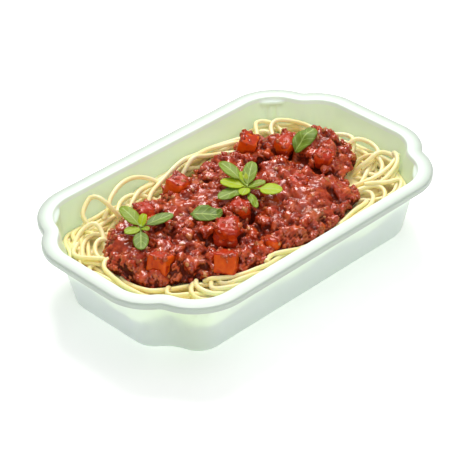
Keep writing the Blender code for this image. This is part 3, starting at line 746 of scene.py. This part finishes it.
def diced(node, size, turn, tilt, edge, uneven, seed):
    """A cooked cube in the place of a plain solid, with a mask for the sauce that clings to it."""
    lowest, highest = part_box(node)
    bm = bmesh.new()
    film = bm.verts.layers.float.new("film")
    bmesh.ops.create_cube(bm, size=1.0)
    bmesh.ops.scale(bm, vec=[s + 0.5 for s in size], verts=bm.verts)
    bmesh.ops.bevel(bm, geom=bm.edges[:], offset=edge, segments=3, profile=0.5, affect="EDGES",
                    clamp_overlap=True, material=-1)
    bmesh.ops.subdivide_edges(bm, edges=[e for e in bm.edges if e.calc_length() > 2.5], cuts=6,
                              use_grid_fill=True)
    bmesh.ops.triangulate(bm, faces=[f for f in bm.faces if len(f.verts) > 4])
    for vert in bm.verts:
        push = noise.noise(vert.co / 4.5 + Vector((seed, 0, 0)))
        push += 0.35 * noise.noise(vert.co / 1.6 + Vector((0, seed, 0)))
        vert.co += vert.co.normalized() * push * uneven
    spot = (lowest + highest) / 2 / MM + NUDGED.get(node, SUNK)
    bmesh.ops.transform(bm, verts=bm.verts, matrix=Matrix.Translation(spot)
                        @ Matrix.Rotation(math.radians(turn), 4, "Z")
                        @ Matrix.Rotation(math.radians(tilt), 4, "X"))
    bmesh.ops.recalc_face_normals(bm, faces=bm.faces)
    bm.normal_update()
    base = lowest.z / MM
    for vert in bm.verts:
        patch = noise.noise(vert.co / 3.0 + Vector((0, 0, seed)))
        wet_top = max(0.0, (vert.normal.z - 0.3) / 0.7) ** 2
        wet_foot = max(0.0, 1 - (vert.co.z - base) / (size[2] * 0.75))
        wet = 1.1 * wet_top + 0.8 * wet_foot + (0.5 if node == "carrot_front" else 1.0) * patch
        vert[film] = min(1.0, max(0.0, wet + (-0.12 if node.startswith("carrot") else 0.15)))
    return to_mesh(node + "_piece", bm)


pieces = {node: diced(node, *DICED[node], seed * 7.3) for seed, node in enumerate(DICED)}
bpy.context.view_layer.update()

# %% [markdown]
# ## The body of the sauce
# Meat sauce is a paste full of crumbs of mince and soft vegetables. A spoon left this heap in
# mounds with dark clefts between them. A copy of the plain solid is divided finely, its clefts are
# pressed in along a few lines, and its mounds are raised.

# %% The body of the sauce
# Clefts: depth, width, and the points they pass through
CLEFTS = (
    (4.5, 3.6, ((30, 17), (36, 17), (43, 15), (49, 12), (50, 6), (46, 0), (48, -8), (51, -16), (52, -24))),
    (3.8, 3.2, ((30, 18), (20, 9), (12, 0), (3, -9), (-5, -13), (-12, -16), (-20, -23), (-25, -30))),
    (3.5, 2.6, ((37, -27), (33, -33), (28, -39))),
    (2.4, 2.4, ((-66, 2), (-57, 2), (-52, -7), (-46, -14), (-36, -20), (-28, -25))),
    (2.2, 2.6, ((-49, 14), (-42, 10), (-33, 10), (-24, 9))),
    (2.2, 2.6, ((-28, 27), (-19, 22), (-14, 15), (-8, 11))),
    (2.6, 2.4, ((-37, -9), (-34, -16), (-29, -24))),
    (2.4, 2.6, ((6, 34), (10, 27), (18, 22), (30, 18))))
# Mounds: x, y, how wide and how high
RAISED = ((30, -16, 15, 2.0), (60, 10, 8, 1.8), (27, 28, 8, 1.5), (-28, 11, 8, 1.0), (12, 8, 9, 1.0),
          (56, -9, 6, 1.5), (-66, 14, 7, 1.5), (8, -32, 10, 1.5), (67, 9, 5, 2.5), (69.5, 6, 2.6, 4.5))


def heap_body():
    """A fine copy of the plain solid with its clefts pressed in and its mounds raised."""
    bm = copy_of_solid("sauce")
    bmesh.ops.subdivide_edges(bm, edges=bm.edges, cuts=2, use_grid_fill=True)
    bmesh.ops.triangulate(bm, faces=bm.faces)
    lines = [(depth, width, smooth_path(points, 1.0)) for depth, width, points in CLEFTS]
    bm.normal_update()
    for vert in bm.verts:
        x, y, z = vert.co
        share = min(1.0, max(0.0, (z - 24.5) / 5.0))
        change = 0.0
        for depth, width, line in lines:
            away = np.hypot(line[:, 0] - x, line[:, 1] - y).min()
            change -= depth * math.exp(-(away / width) ** 2)
        change += sum(rise * math.exp(-((x - a) ** 2 + (y - b) ** 2) / r ** 2) for a, b, r, rise in RAISED)
        change += 2.4 * noise.noise(Vector((x / 7, y / 7, 5.0))) - 0.3
        vert.co.z += change * share
        vert.co += vert.normal * (1.1 * noise.noise(vert.co / 3.2) - 0.3)
    return bm


heap = heap_body()
heap_tree = BVHTree.FromBMesh(heap)
print("heap points:", len(heap.verts), "top, mm:", round(max(v.co.z for v in heap.verts), 1))

# %% [markdown]
# ## Pieces and crumbs in the sauce
# The larger soft pieces are placed one by one, where the eye finds them in the real meal. The
# rest is chance: lumps of mince and blobs of paste, which are sunk deeper where the paste is smooth.
# Each has the direction of the surface below it, so that it can be sunk into it. More of them cling
# to the vegetables, but most sides that look to the front stay clean.

# %% Pieces and crumbs in the sauce
# Places of soft pieces: x, y, half size, share that is sunk, tone (0 red, 0.5 orange, 1 pale)
COATED = (
    (-63, 20, 4.3, 0.5, 0.25), (-73, 7, 3.8, 0.6, 0.1), (-47, -22, 3.4, 0.4, 0.9),
    (-43, -7, 4.3, 0.5, 0.1), (-44, -16.5, 3.1, 0.2, 0.2), (-29, 10, 4.8, 0.5, 0.3),
    (-33, 0, 2.6, 0.1, 0.5), (-5, 24, 3.8, 0.3, 0.6), (27, 27, 4.2, 0.5, 0.1), (59, 15, 4.0, 0.4, 0.1),
    (49, -25, 3.8, 0.5, 0.2), (28, -36, 4.8, 0.6, 0.1), (17, -17, 4.6, 0.75, 0.4),
    (2, -41, 4.0, 0.4, 0.6), (17, -36, 5.0, 0.5, 0.95), (-23, -31, 3.6, 0.3, 0.0),
    (-19, -15, 3.8, 0.5, 0.1), (-72, -11, 3.6, 0.4, 0.2), (-53, -22, 3.8, 0.4, 0.1),
    (-56, 22, 4.0, 0.5, 0.2), (-33, 28, 3.4, 0.5, 0.1), (68, 13, 3.0, 0.1, 0.5), (70, -6, 3.8, 0.5, 0.2),
    (62, -2, 4.0, 0.6, 0.1), (42, 12, 3.6, 0.7, 0.0), (12, 34, 3.8, 0.4, 0.2), (4, 14, 3.8, 0.6, 0.1),
    (-14, 4, 3.6, 0.6, 0.1), (-52, -3, 3.6, 0.6, 0.0), (40, -32, 3.6, 0.5, 0.1))
LUMPS, BLOBS, CRUMBS, EDGE_CRUMBS, CHUNK_CRUMBS, CAP_BLOBS = 150, 950, 700, 240, 16, 8
# Smooth mounds: x, y and how wide
SMOOTH_MOUNDS = ((33, -13, 17), (20, -24, 9), (14, 6, 8), (54, 9, 9), (-22, 16, 7), (60, -10, 8),
                 (-66, 10, 6))
ROUND_A_PIECE = 9
draw = random.Random(21)
lumps, blobs, crumbs = [], [], []
low, high = sauce_edge.min(0), sauce_edge.max(0)


def heap_at(x, y):
    """The top of the heap over a place, and its direction there."""
    hit, normal, _, _ = heap_tree.ray_cast(Vector((x, y, 100)), Vector((0, 0, -1)))
    return hit, normal


def spot_on_heap(margin):
    """A random place on top of the heap with its direction outwards."""
    while True:
        x, y = draw.uniform(low[0], high[0]), draw.uniform(low[1], high[1])
        hit, normal = heap_at(x, y)
        if float(look_up(under_sauce, x, y)) > margin and hit is not None:
            return hit, normal


def pasty(x, y):
    """1 in the middle of a smooth mound, where paste hides the crumbs, and 0 away from all."""
    return max(math.exp(-((x - a) ** 2 + (y - b) ** 2) / r ** 2) for a, b, r in SMOOTH_MOUNDS)


def stays_clean(node, outward):
    """Whether a side of a vegetable piece is kept free: most sides that look to the front are."""
    front = -0.3 * outward.x - 0.95 * outward.y > 0.4
    return front and (node == "carrot_front" or draw.random() < (0.75 if "carrot" in node else 0.5))


def middle_of(node):
    """The middle and the half size of a plain solid."""
    lowest, highest = (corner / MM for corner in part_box(node))
    return (lowest + highest) / 2, (highest - lowest) / 2


def clumped(spot):
    """Whether a crumb falls here: crumbs keep together in clumps."""
    return noise.noise(Vector((spot.x / 7, spot.y / 7, 3.0))) > -0.05 or draw.random() > 0.6


for x, y, size, sunk, tone in COATED:
    hit, normal = heap_at(x, y)
    lumps.append((hit - normal * size * sunk, size, tone))
while len(lumps) < len(COATED) + LUMPS:
    hit, normal = spot_on_heap(2)
    size = draw.uniform(1.7, 3.8)
    if all((hit - other[0]).length > 0.75 * (size + other[1]) for other in lumps):
        buried = draw.uniform(0.2, 0.7) + 0.8 * pasty(hit.x, hit.y)
        lumps.append((hit - normal * size * buried, size, draw.uniform(0, 0.35)))
while len(blobs) < BLOBS:
    hit, normal = spot_on_heap(0.2)
    size = draw.uniform(1.0, 2.4)
    if clumped(hit):
        blobs.append((hit - normal * size * (draw.uniform(0, 0.6) + pasty(hit.x, hit.y)), size))
for _ in range(EDGE_CRUMBS):
    x, y = sauce_edge[draw.randrange(len(sauce_edge))]
    size = draw.uniform(1.0, 2.2)
    hit, normal, _, _ = heap_tree.find_nearest(Vector((x, y, draw.uniform(24.6, 30.0))))
    blobs.append((hit - normal * size * draw.uniform(0.0, 0.6), size))
depsgraph = bpy.context.evaluated_depsgraph_get()
for node in pieces:
    middle, half = middle_of(node)
    for k in range(ROUND_A_PIECE):
        turn = k * 0.7 + draw.uniform(-0.2, 0.2)
        away = Vector((math.cos(turn) * half.x, math.sin(turn) * half.y, 0)) * 1.05
        foot, _ = heap_at(middle.x + away.x, middle.y + away.y)
        if foot is not None and not stays_clean(node, away.normalized()):
            size = draw.uniform(1.6, 2.6)
            lumps.append((foot + Vector((0, 0, draw.uniform(-0.3, 0.8))), size, draw.uniform(0, 0.3)))
    tree = BVHTree.FromObject(pieces[node], depsgraph)
    for _ in range(CAP_BLOBS):
        x, y = (middle[n] + half[n] * draw.uniform(-0.75, 0.75) for n in (0, 1))
        top = tree.ray_cast(Vector((x, y, 100)) * MM, Vector((0, 0, -1)))[0]
        if top:
            size = draw.uniform(0.9, 1.9)
            blobs.append((top / MM - Vector((0, 0, size * draw.uniform(0.3, 0.8))), size))
print("lumps:", len(lumps), "blobs:", len(blobs))

# %% [markdown]
# ## Shapes that are used many times
# A blob of paste and a crumb are uneven balls, and a lump is a soft block. Five of each are made
# once, and turned and squashed copies of them are set at every place.


# %% Shapes that are used many times
def dented(bm, depth, spread, start):
    """Gives a bmesh random dents and turns it into a mesh that can be copied."""
    for vert in bm.verts:
        vert.co *= 1 + depth * noise.noise(vert.co * spread + start)
    mesh = bpy.data.meshes.new("dented")
    bm.to_mesh(mesh)
    bm.free()
    return mesh


def uneven_ball(seed):
    """A small ball with radius 1 and random dents."""
    bm = bmesh.new()
    bmesh.ops.create_uvsphere(bm, u_segments=8, v_segments=5, radius=1.0)
    return dented(bm, 0.7, 1.4, Vector((seed * 5.3, 0, 0)))


def soft_block(seed):
    """A block with half size 1, bevelled edges and random dents."""
    bm = bmesh.new()
    bmesh.ops.create_cube(bm, size=2.0)
    bmesh.ops.bevel(bm, geom=bm.edges[:], offset=0.35, segments=2, profile=0.5, affect="EDGES",
                    material=-1)
    return dented(bm, 0.35, 0.8, Vector((0, seed * 5.3, 0)))


def add_copies(bm, shapes, spots, squash, turn_draw):
    """Adds a turned and squashed copy of one of the shapes at each spot, in their order."""
    for spot, size, *_ in spots:
        sizes = [turn_draw.uniform(squash, 1.15) * size for _ in range(3)]
        place = (Matrix.Translation(spot) @ Matrix.Rotation(turn_draw.uniform(0, 6.3), 4, "Z")
                 @ Matrix.Rotation(turn_draw.uniform(-0.8, 0.8), 4, "X") @ Matrix.Diagonal((*sizes, 1)))
        shape = turn_draw.choice(shapes)
        shape.transform(place)
        bm.from_mesh(shape)
        shape.transform(place.inverted())


balls = [uneven_ball(k) for k in range(5)]
blocks = [soft_block(k) for k in range(5)]

# %% [markdown]
# ## One skin over everything
# A voxel remesh melts the heap, its lumps and its blobs of paste into one skin, as they stick
# together in the real sauce. Small noise then makes the skin uneven, like paste with fat in it.

# %% One skin over everything
VOXEL = 0.66


def sauce_skin():
    """Melts the heap and all that is in it into one piece."""
    turn_draw = random.Random(23)
    add_copies(heap, balls, blobs, 0.7, turn_draw)
    add_copies(heap, blocks, lumps, 0.75, turn_draw)
    made = to_mesh("meat_sauce", heap)
    melt = made.modifiers.new("melt", "REMESH")
    melt.mode = "VOXEL"
    melt.voxel_size = VOXEL * MM
    ease = made.modifiers.new("ease", "SMOOTH")
    ease.factor = 0.5
    ease.iterations = 1
    depsgraph = bpy.context.evaluated_depsgraph_get()
    mesh = bpy.data.meshes.new_from_object(made.evaluated_get(depsgraph))
    made.modifiers.clear()
    made.data = mesh
    spots, outward = places(made), np.empty(len(mesh.vertices) * 3)
    mesh.vertices.foreach_get("normal", outward)
    push = [(1 - 0.75 * pasty(*spot[:2])) * noise.noise(Vector(spot) / 1.7) for spot in spots]
    spots += outward.reshape(-1, 3) * 0.6 * np.array(push)[:, None]
    mesh.vertices.foreach_set("co", (spots * MM).ravel())
    mesh.shade_smooth()
    return made


sauce = sauce_skin()
skin = places(sauce)
print("sauce skin points:", len(skin), "top, mm:", skin[:, 2].max().round(1))

# %% [markdown]
# ## Crumbs of mince
# Fried mince falls into crumbs one or two millimetres wide. They are too fine for the skin's
# voxels, so they are a piece of their own: uneven balls that are half sunk into the skin and into
# the vegetables.


# %% Crumbs of mince
def crumbs_on(made, count, probe_of, keep):
    """Chooses places for crumbs on the surface of a piece, near probes that are drawn for it."""
    tree = BVHTree.FromObject(made, bpy.context.evaluated_depsgraph_get())
    found = 0
    while found < count:
        hit, normal, _, _ = tree.find_nearest(probe_of() * MM)
        hit = hit / MM
        if keep(hit, normal):
            size = draw.choice((0.6, 0.75, 0.95, 1.2, 1.6))
            crumbs.append((hit - normal * size * draw.uniform(0.2, 0.8), size, draw.random()))
            found += 1


def above_heap():
    """A random probe over the heap."""
    hit, normal = spot_on_heap(0.2)
    return hit + normal * 4


def beside_heap():
    """A random probe at the heap's outline."""
    x, y = sauce_edge[draw.randrange(len(sauce_edge))]
    return Vector((x, y, draw.uniform(24.6, 31.0)))


crumbs_on(sauce, CRUMBS, above_heap,
          lambda spot, normal: clumped(spot) and draw.random() > 0.9 * pasty(spot.x, spot.y))
crumbs_on(sauce, EDGE_CRUMBS, beside_heap, lambda spot, normal: True)
for node, made in pieces.items():
    middle, half = middle_of(node)
    crumbs_on(made, CHUNK_CRUMBS, lambda: middle + Vector((
        draw.uniform(-2, 2) * half.x, draw.uniform(-2, 2) * half.y, draw.uniform(-0.4, 2.5) * half.z)),
        lambda spot, normal: normal.z > 0.7 or not stays_clean(node, normal))
bm = bmesh.new()
add_copies(bm, balls, crumbs, 0.7, random.Random(5))
mince = to_mesh("mince_crumbs", bm)
print("crumbs:", len(crumbs))


# %% [markdown]
# ## Masks for soft pieces, crumbs and painted cleft shade
# The material has to know where it is. Each point of the skin stores how near it is to a soft lump
# and that lump's tone. A point gets painted cleft shade when it lies well under the mean height
# around it, where the food around it keeps the light out.


# %% Masks for soft pieces, crumbs and painted cleft shade
def nearest_of(things, spots):
    """For each spot the nearest thing's tone, and how near it is: 1 at its centre, 0 outside it."""
    tree = KDTree(len(things))
    for k, (centre, _, _) in enumerate(things):
        tree.insert(centre, k)
    tree.balance()
    tones, near = np.empty(len(spots)), np.empty(len(spots))
    for k, spot in enumerate(spots):
        _, n, away = tree.find(spot)
        _, size, tone = things[n]
        tones[k], near[k] = tone, max(0.0, 1.6 - away / size)
    return tones, near.clip(0, 1)


def heights_around(cells):
    """A map of the mean height of the food within some millimetres of each place."""
    total = np.full((int(2 * MAP_X), int(2 * MAP_Y)), 24.0)
    np.maximum.at(total, ((skin[:, 0] + MAP_X).astype(int), (skin[:, 1] + MAP_Y).astype(int)), skin[:, 2])
    for axis in (0, 1, 0, 1):
        total = sum(np.roll(total, shift, axis) for shift in range(-cells, cells + 1)) / (2 * cells + 1)
    return total


wide_height, close_height = heights_around(2), heights_around(1)
for made in (sauce, mince):
    spots = places(made)
    at = (spots[:, 0] + MAP_X).astype(int), (spots[:, 1] + MAP_Y).astype(int)
    wide, close = wide_height[at] - spots[:, 2], close_height[at] - spots[:, 2]
    # painted shade: how far a point lies under the food around it; clefts get a near-black colour and less
    # shine
    cleft_shade = np.maximum(wide / 2.3, (close - 0.2) / 1.25).clip(0, 1)
    add_values(made, "cleft_shade", cleft_shade)
    print(made.name, "share in clefts:", round(float((cleft_shade > 0.5).mean()), 2))
lump_tone, lump_near = nearest_of(lumps, skin)
add_values(sauce, "lump_tone", lump_tone)
add_values(sauce, "lump", lump_near)
crumb_points = len(mince.data.vertices) // len(crumbs)
add_values(mince, "crumb_tone", np.repeat([tone for _, _, tone in crumbs], crumb_points))
add_values(mince, "crumb", np.ones(len(mince.data.vertices)))

# %% [markdown]
# ## Wet meat sauce
# The paste is a deep brownish red. Crumbs of mince are browner, and the soft pieces are brighter
# because they let light in. The clefts get painted shade: a near-black colour and less shine for
# the light that the heap keeps out of them. A film of fat and water makes the rest shine. The
# masks from the cell before say which is which.

# %% Wet meat sauce
finish, tree, shader = new_finish("meat_sauce")
paste = grain(tree, 170.0, 4.0, 0.6)
paste_tone = colour_ramp(tree, paste, (
    (0.28, (0.20, 0.010, 0.003)), (0.5, (0.45, 0.047, 0.009)), (0.72, (0.70, 0.135, 0.026))))
crumb_colours = colour_ramp(tree, mask(tree, "crumb_tone"), (
    (0.3, (0.40, 0.036, 0.009)), (0.7, (0.53, 0.084, 0.017)), (0.9, (0.54, 0.15, 0.040)),
    (0.98, (0.60, 0.25, 0.085))))
lump_colours = colour_ramp(tree, mask(tree, "lump_tone"), (
    (0.0, (0.44, 0.022, 0.005)), (0.3, (0.62, 0.058, 0.009)), (0.6, (0.68, 0.13, 0.02)),
    (1.0, (0.46, 0.19, 0.08))))
film = colour_ramp(tree, paste, ((0.40, 0.75), (0.62, 0.15)))
cleft_shade_mask = mask(tree, "cleft_shade")
# painted shade: how much of the near-black cleft colour a point gets
deep = colour_ramp(tree, cleft_shade_mask, ((0.0, 0), (0.75, 0.92)))
# painted shade in the reflections: clefts shine less
shine_with_cleft_shade = colour_ramp(tree, cleft_shade_mask, ((0.0, 0.65), (0.6, 0.10)))
lump_share = maths(tree, "MULTIPLY", mask(tree, "lump"), film)
with_lumps = blend(tree, lump_share, paste_tone, lump_colours)
with_crumbs = blend(tree, mask(tree, "crumb"), with_lumps, crumb_colours)
# painted cleft shade: near-black colour where the cleft mask is high
with_painted_cleft_shade = blend(tree, deep, with_crumbs, (0.060, 0.006, 0.003, 1))
coat(tree, shader, Base_Color=with_painted_cleft_shade, Specular_IOR_Level=shine_with_cleft_shade, Roughness=0.19,
     Subsurface_Weight=0.15, Subsurface_Radius=(1.0, 0.25, 0.08), Subsurface_Scale=0.0025,
     Normal=relief(tree, grain(tree, 520.0, 4.0, 0.6), 0.0004, 0.5))
dress(sauce, "sauce", finish, "sauce")
dress(mince, "sauce", finish)

# %% [markdown]
# ## Vegetables with a film of sauce
# A cooked cube lets light in a little way, so its edges look bright. Sauce clings to the top and
# foot of each piece. The film mask made with the cube says where, and small noise breaks its edge.


# %% Vegetables with a film of sauce
def vegetable_finish(name, flesh, bright, film_colour):
    """Mottled flesh under sauce, with a ragged edge between the two."""
    finish, tree, shader = new_finish(name)
    body = colour_ramp(tree, grain(tree, 260.0, 3.0), ((0.3, flesh), (0.7, bright)))
    edge = maths(tree, "MULTIPLY_ADD", grain(tree, 420.0, 3.0, 0.6), 0.7, mask(tree, "film"))
    covered = colour_ramp(tree, maths(tree, "ADD", edge, -0.35), ((0.30, 0.05), (0.52, 0.9)))
    coat(tree, shader, Base_Color=blend(tree, covered, body, (*film_colour, 1)), Roughness=0.25,
         Specular_IOR_Level=0.28, Subsurface_Weight=0.3, Subsurface_Radius=(1.0, 0.35, 0.1),
         Subsurface_Scale=0.003, Normal=relief(tree, edge, 0.0004, 0.4))
    return finish


vegetable_looks = {
    "carrot": vegetable_finish("carrot", (0.66, 0.056, 0.002), (0.84, 0.120, 0.004), (0.46, 0.030, 0.006)),
    "tomato": vegetable_finish("tomato", (0.62, 0.040, 0.004), (0.78, 0.094, 0.008), (0.44, 0.026, 0.006)),
    "mushroom": vegetable_finish("mushroom", (0.34, 0.07, 0.03), (0.46, 0.12, 0.05), (0.31, 0.024, 0.009))}
for node, made in pieces.items():
    kind = node.split("_")[0]
    dress(made, kind, vegetable_looks[kind], node)

# %% [markdown]
# ## Basil leaves
# A basil leaf is a thin oval blade with a sunk midrib and side veins that lift the blade between
# them into soft pillows. Each starts as a flat grid, which is pulled into the leaf's outline,
# folded a little along the midrib and laid over whatever food is below it. Three values at each
# point say where it is along and across the leaf and how young the leaf is. The material reads
# them, so veins run slanting from the midrib and young leaves are yellower.

# %% The ground below the leaves
depsgraph = bpy.context.evaluated_depsgraph_get()
ground_trees = [BVHTree.FromObject(made, depsgraph) for made in (sauce, mince)]
ground_trees += [BVHTree.FromObject(made, depsgraph) for made in pieces.values()]


def ground(x, y, reach=1.0):
    """The highest food round a spot, in millimetres."""
    best = 20.0
    for dx, dy in ((0, 0), (reach, 0), (-reach, 0), (0, reach), (0, -reach)):
        for tree in ground_trees:
            hit = tree.ray_cast(Vector((x + dx, y + dy, 100)) * MM, Vector((0, 0, -1)))[0]
            if hit:
                best = max(best, hit.z / MM)
    return best


# %% One leaf
LEAF_THICK = 0.35
LEAF_MAPS = ("along", "across", "young")
VEIN_COUNT, VEIN_SLANT = 24, 0.28


def leaf(bm, base, heading, reach, rise, width, stalk, young, seed):
    """Adds one leaf to a bmesh, with its map of places along and across and its youth."""
    layers = bm.verts.layers.float
    along, across, youth = (layers.get(name) or layers.new(name) for name in LEAF_MAPS)
    ahead = Vector((math.cos(math.radians(heading)), math.sin(math.radians(heading)), 0))
    side = Vector((-ahead.y, ahead.x, 0))
    grid = bmesh.ops.create_grid(bm, x_segments=22, y_segments=10, size=0.5)["verts"]
    for vert in grid:
        t, s = vert.co.x + 0.5, vert.co.y * 2
        blade = math.sin(math.pi * max(0, (t - stalk) / (1 - stalk)) ** 0.85)
        half = 0.45 + (width / 2 - 0.45) * max(0, blade) ** 0.55
        if t > 0.97:
            half = 0.12
        spot = Vector(base) + ahead * reach * t + side * half * s
        fold = 0.16 * half * abs(s) ** 1.3
        droop = -0.35 * half * max(0, abs(s) - 0.6) ** 1.5
        veins = 0.10 * half * math.sin(VEIN_COUNT * (t - VEIN_SLANT * abs(s)) + seed)
        veins = veins * abs(s) * (1 - abs(s)) * 2
        wave = 0.22 * math.sin(5 * t + 3 * s + seed)
        spot.z = base[2] + rise * math.sin(math.pi / 2 * t) + fold + droop + wave * t
        spot.z = max(spot.z, ground(spot.x, spot.y, 1.8) + 0.5) + veins
        vert.co = spot
        vert[along], vert[across], vert[youth] = t, s, young
    faces = {face for vert in grid for face in vert.link_faces}
    bmesh.ops.recalc_face_normals(bm, faces=list(faces))
    if sum(face.normal.z for face in faces) < 0:
        bmesh.ops.reverse_faces(bm, faces=list(faces))
    for _ in range(4):
        bmesh.ops.smooth_vert(bm, verts=grid, factor=0.4, use_axis_z=True)
    bmesh.ops.solidify(bm, geom=list(faces), thickness=LEAF_THICK)


# Each leaf: heading, length, rise, width, share of its length that is stalk, youth
SPRIGS = {
    "basil_left": ((-55.2, 8.9), (
        (84, 15.4, 3.4, 7.6, 0.12, 0.45), (-13, 17.6, 0.9, 7.6, 0.22, 0.1),
        (-132, 16.8, -1.0, 7.4, 0.24, 0.15), (164, 8.4, 0.2, 6.4, 0.1, 0.7),
        (31, 6.6, 3.6, 4.2, 0.1, 1.0), (-84, 5.4, 1.6, 3.4, 0.1, 0.5))),
    "basil_middle": ((3.6, -2.7), (
        (86, 20.0, 4.4, 7.4, 0.3, 0.35), (35, 16.0, 4.2, 7.0, 0.12, 0.3), (120, 13.4, 1.4, 8.8, 0.15, 1.0),
        (166, 16.2, -0.6, 9.0, 0.2, 0.2), (-153, 8.0, 0.6, 5.6, 0.1, 0.9), (-26, 9.5, 1.6, 5.0, 0.1, 0.4),
        (-58, 17.6, 1.0, 9.6, 0.38, 1.0), (-119, 16.2, -0.8, 4.4, 0.3, 0.35),
        (62, 9.0, 4.2, 4.4, 0.1, 0.9)))}
LONE_LEAVES = {
    "basil_leaf_centre": ((-28.1, 3.7), (-50, 15.5, 0.6, 11.5, 0.06, 0.1)),
    "basil_leaf_back": ((50.4, 10.4), (2, 15.5, 6.2, 10.8, 0.02, 0.15))}

basil = {}
for name, ((x, y), leaves) in SPRIGS.items():
    height = ground(x, y, 2.0) - 0.3
    top = Vector((x + 0.2, y + 0.2, height + 2.8))
    bm = bmesh.new()
    for k, values in enumerate(leaves):
        leaf(bm, (top.x, top.y, top.z - 0.45 - 0.17 * k), *values, k * 1.7)
    bmesh.ops.create_cone(bm, cap_ends=True, segments=12, radius1=0.75, radius2=0.5, depth=3.2,
                          matrix=Matrix.Translation(top - Vector((-0.3, -0.3, 1.5))))
    basil[name] = to_mesh(name + "_sprig", bm)
for name, ((x, y), values) in LONE_LEAVES.items():
    bm = bmesh.new()
    leaf(bm, (x, y, ground(x, y) + 0.5), *values, 0.7)
    basil[name] = to_mesh(name + "_blade", bm)

# %% Leaf green
finish, tree, shader = new_finish("basil_leaf")
aside = maths(tree, "ABSOLUTE", mask(tree, "across"))
rib = colour_ramp(tree, aside, ((0.0, 1), (0.10, 0)))
slant = maths(tree, "MULTIPLY_ADD", aside, -VEIN_SLANT, mask(tree, "along"))
wave = maths(tree, "SINE", maths(tree, "MULTIPLY", slant, VEIN_COUNT))
lines = maths(tree, "MAXIMUM", rib, colour_ramp(tree, wave, ((0.90, 0), (1.0, 0.5))))
green = colour_ramp(tree, grain(tree, 120.0, 3.0), (
    (0.3, (0.070, 0.125, 0.014)), (0.5, (0.105, 0.175, 0.019)), (0.75, (0.17, 0.27, 0.030))))
by_age = blend(tree, mask(tree, "young"), green, (0.37, 0.48, 0.004, 1))
coat(tree, shader, Base_Color=blend(tree, lines, by_age, (0.42, 0.54, 0.14, 1)), Roughness=0.45,
     Specular_IOR_Level=0.22, Subsurface_Weight=0.3, Subsurface_Radius=(0.5, 1.0, 0.15),
     Subsurface_Scale=0.0012)
for name, made in basil.items():
    dress(made, "basil", finish, name)

# %% [markdown]
# ## Table, light and camera
# The meal stands on a plain pale table in a bright studio. A large soft lamp behind and above
# makes the glow in the tray's wall, and a lower one beside it draws the wet sheen on level sauce.
# Lamps above and in front, a bright room and a table that glows a little fill the shadows. The
# camera is a long lens that looks down by about 34 degrees from one corner.

# %% Table, light and camera
bm = bmesh.new()
bmesh.ops.create_grid(bm, x_segments=1, y_segments=1, size=3.0 / MM)
table = to_mesh("table", bm)
finish, tree, shader = new_finish("pale_table")
white = colour_ramp(tree, grain(tree, 60.0), ((0.3, 0.95), (0.7, 0.97)))
coat(tree, shader, Base_Color=white, Roughness=0.8, Emission_Color=(1, 1, 1, 1), Emission_Strength=0.3)
table.data.materials.append(finish)

world = bpy.data.worlds.new("bright_room")
bpy.context.scene.world = world
world.use_nodes = True
room = world.node_tree.nodes["Background"]
room.inputs["Color"].default_value = (1.0, 1.0, 1.0, 1)
room.inputs["Strength"].default_value = 0.33
WINDOW_COLOUR = (1.0, 0.985, 0.96)


def lamp(name, spot, aim, size, power, colour=(1, 1, 1)):
    """A soft rectangular lamp at a spot that is turned to its aim."""
    light = bpy.data.lights.new(name, "AREA")
    light.shape = "RECTANGLE"
    light.size, light.size_y = size
    light.energy = power
    light.color = colour
    holder = bpy.data.objects.new(name, light)
    holder.location = spot
    holder.rotation_euler = (Vector(aim) - Vector(spot)).to_track_quat("-Z", "Y").to_euler()
    bpy.context.scene.collection.objects.link(holder)


lamp("window_behind", (0.7, 0.8, 1.6), (0, 0, 0.03), (0.8, 0.65), 28.0, WINDOW_COLOUR)
lamp("window_low", (1.15, 1.15, 1.0), (0, 0, 0.03), (0.9, 0.45), 3.0, WINDOW_COLOUR)
lamp("ceiling", (0.3, -0.2, 1.5), (0, 0, 0.03), (1.2, 1.2), 5.0)
lamp("front_fill", (-0.8, -1.0, 0.8), (0, 0, 0.02), (1.0, 0.7), 5.7)

AZIMUTH, ELEVATION, ROLL = -43.4536, 34.3492, -1.6057
TARGET, DISTANCE, LENS = Vector((-25.443, -17.890, 37.5)), 939.53, 159.30
a, e, r = (math.radians(v) for v in (AZIMUTH, ELEVATION, ROLL))
back = Vector((math.sin(a) * math.cos(e), -math.cos(a) * math.cos(e), math.sin(e)))
right = (-back).cross(Vector((0, 0, 1))).normalized()
up = right.cross(-back)
turned_right = right * math.cos(r) + up * math.sin(r)
turned_up = up * math.cos(r) - right * math.sin(r)
camera_data = bpy.data.cameras.new("camera")
camera_data.lens, camera_data.sensor_width = LENS, 36.0
camera = bpy.data.objects.new("camera", camera_data)
place = Matrix((turned_right, turned_up, back)).transposed().to_4x4()
place.translation = (TARGET + back * DISTANCE) * MM
camera.matrix_world = place
bpy.context.scene.collection.objects.link(camera)
bpy.context.scene.camera = camera
bpy.context.scene.view_settings.view_transform = "Standard"
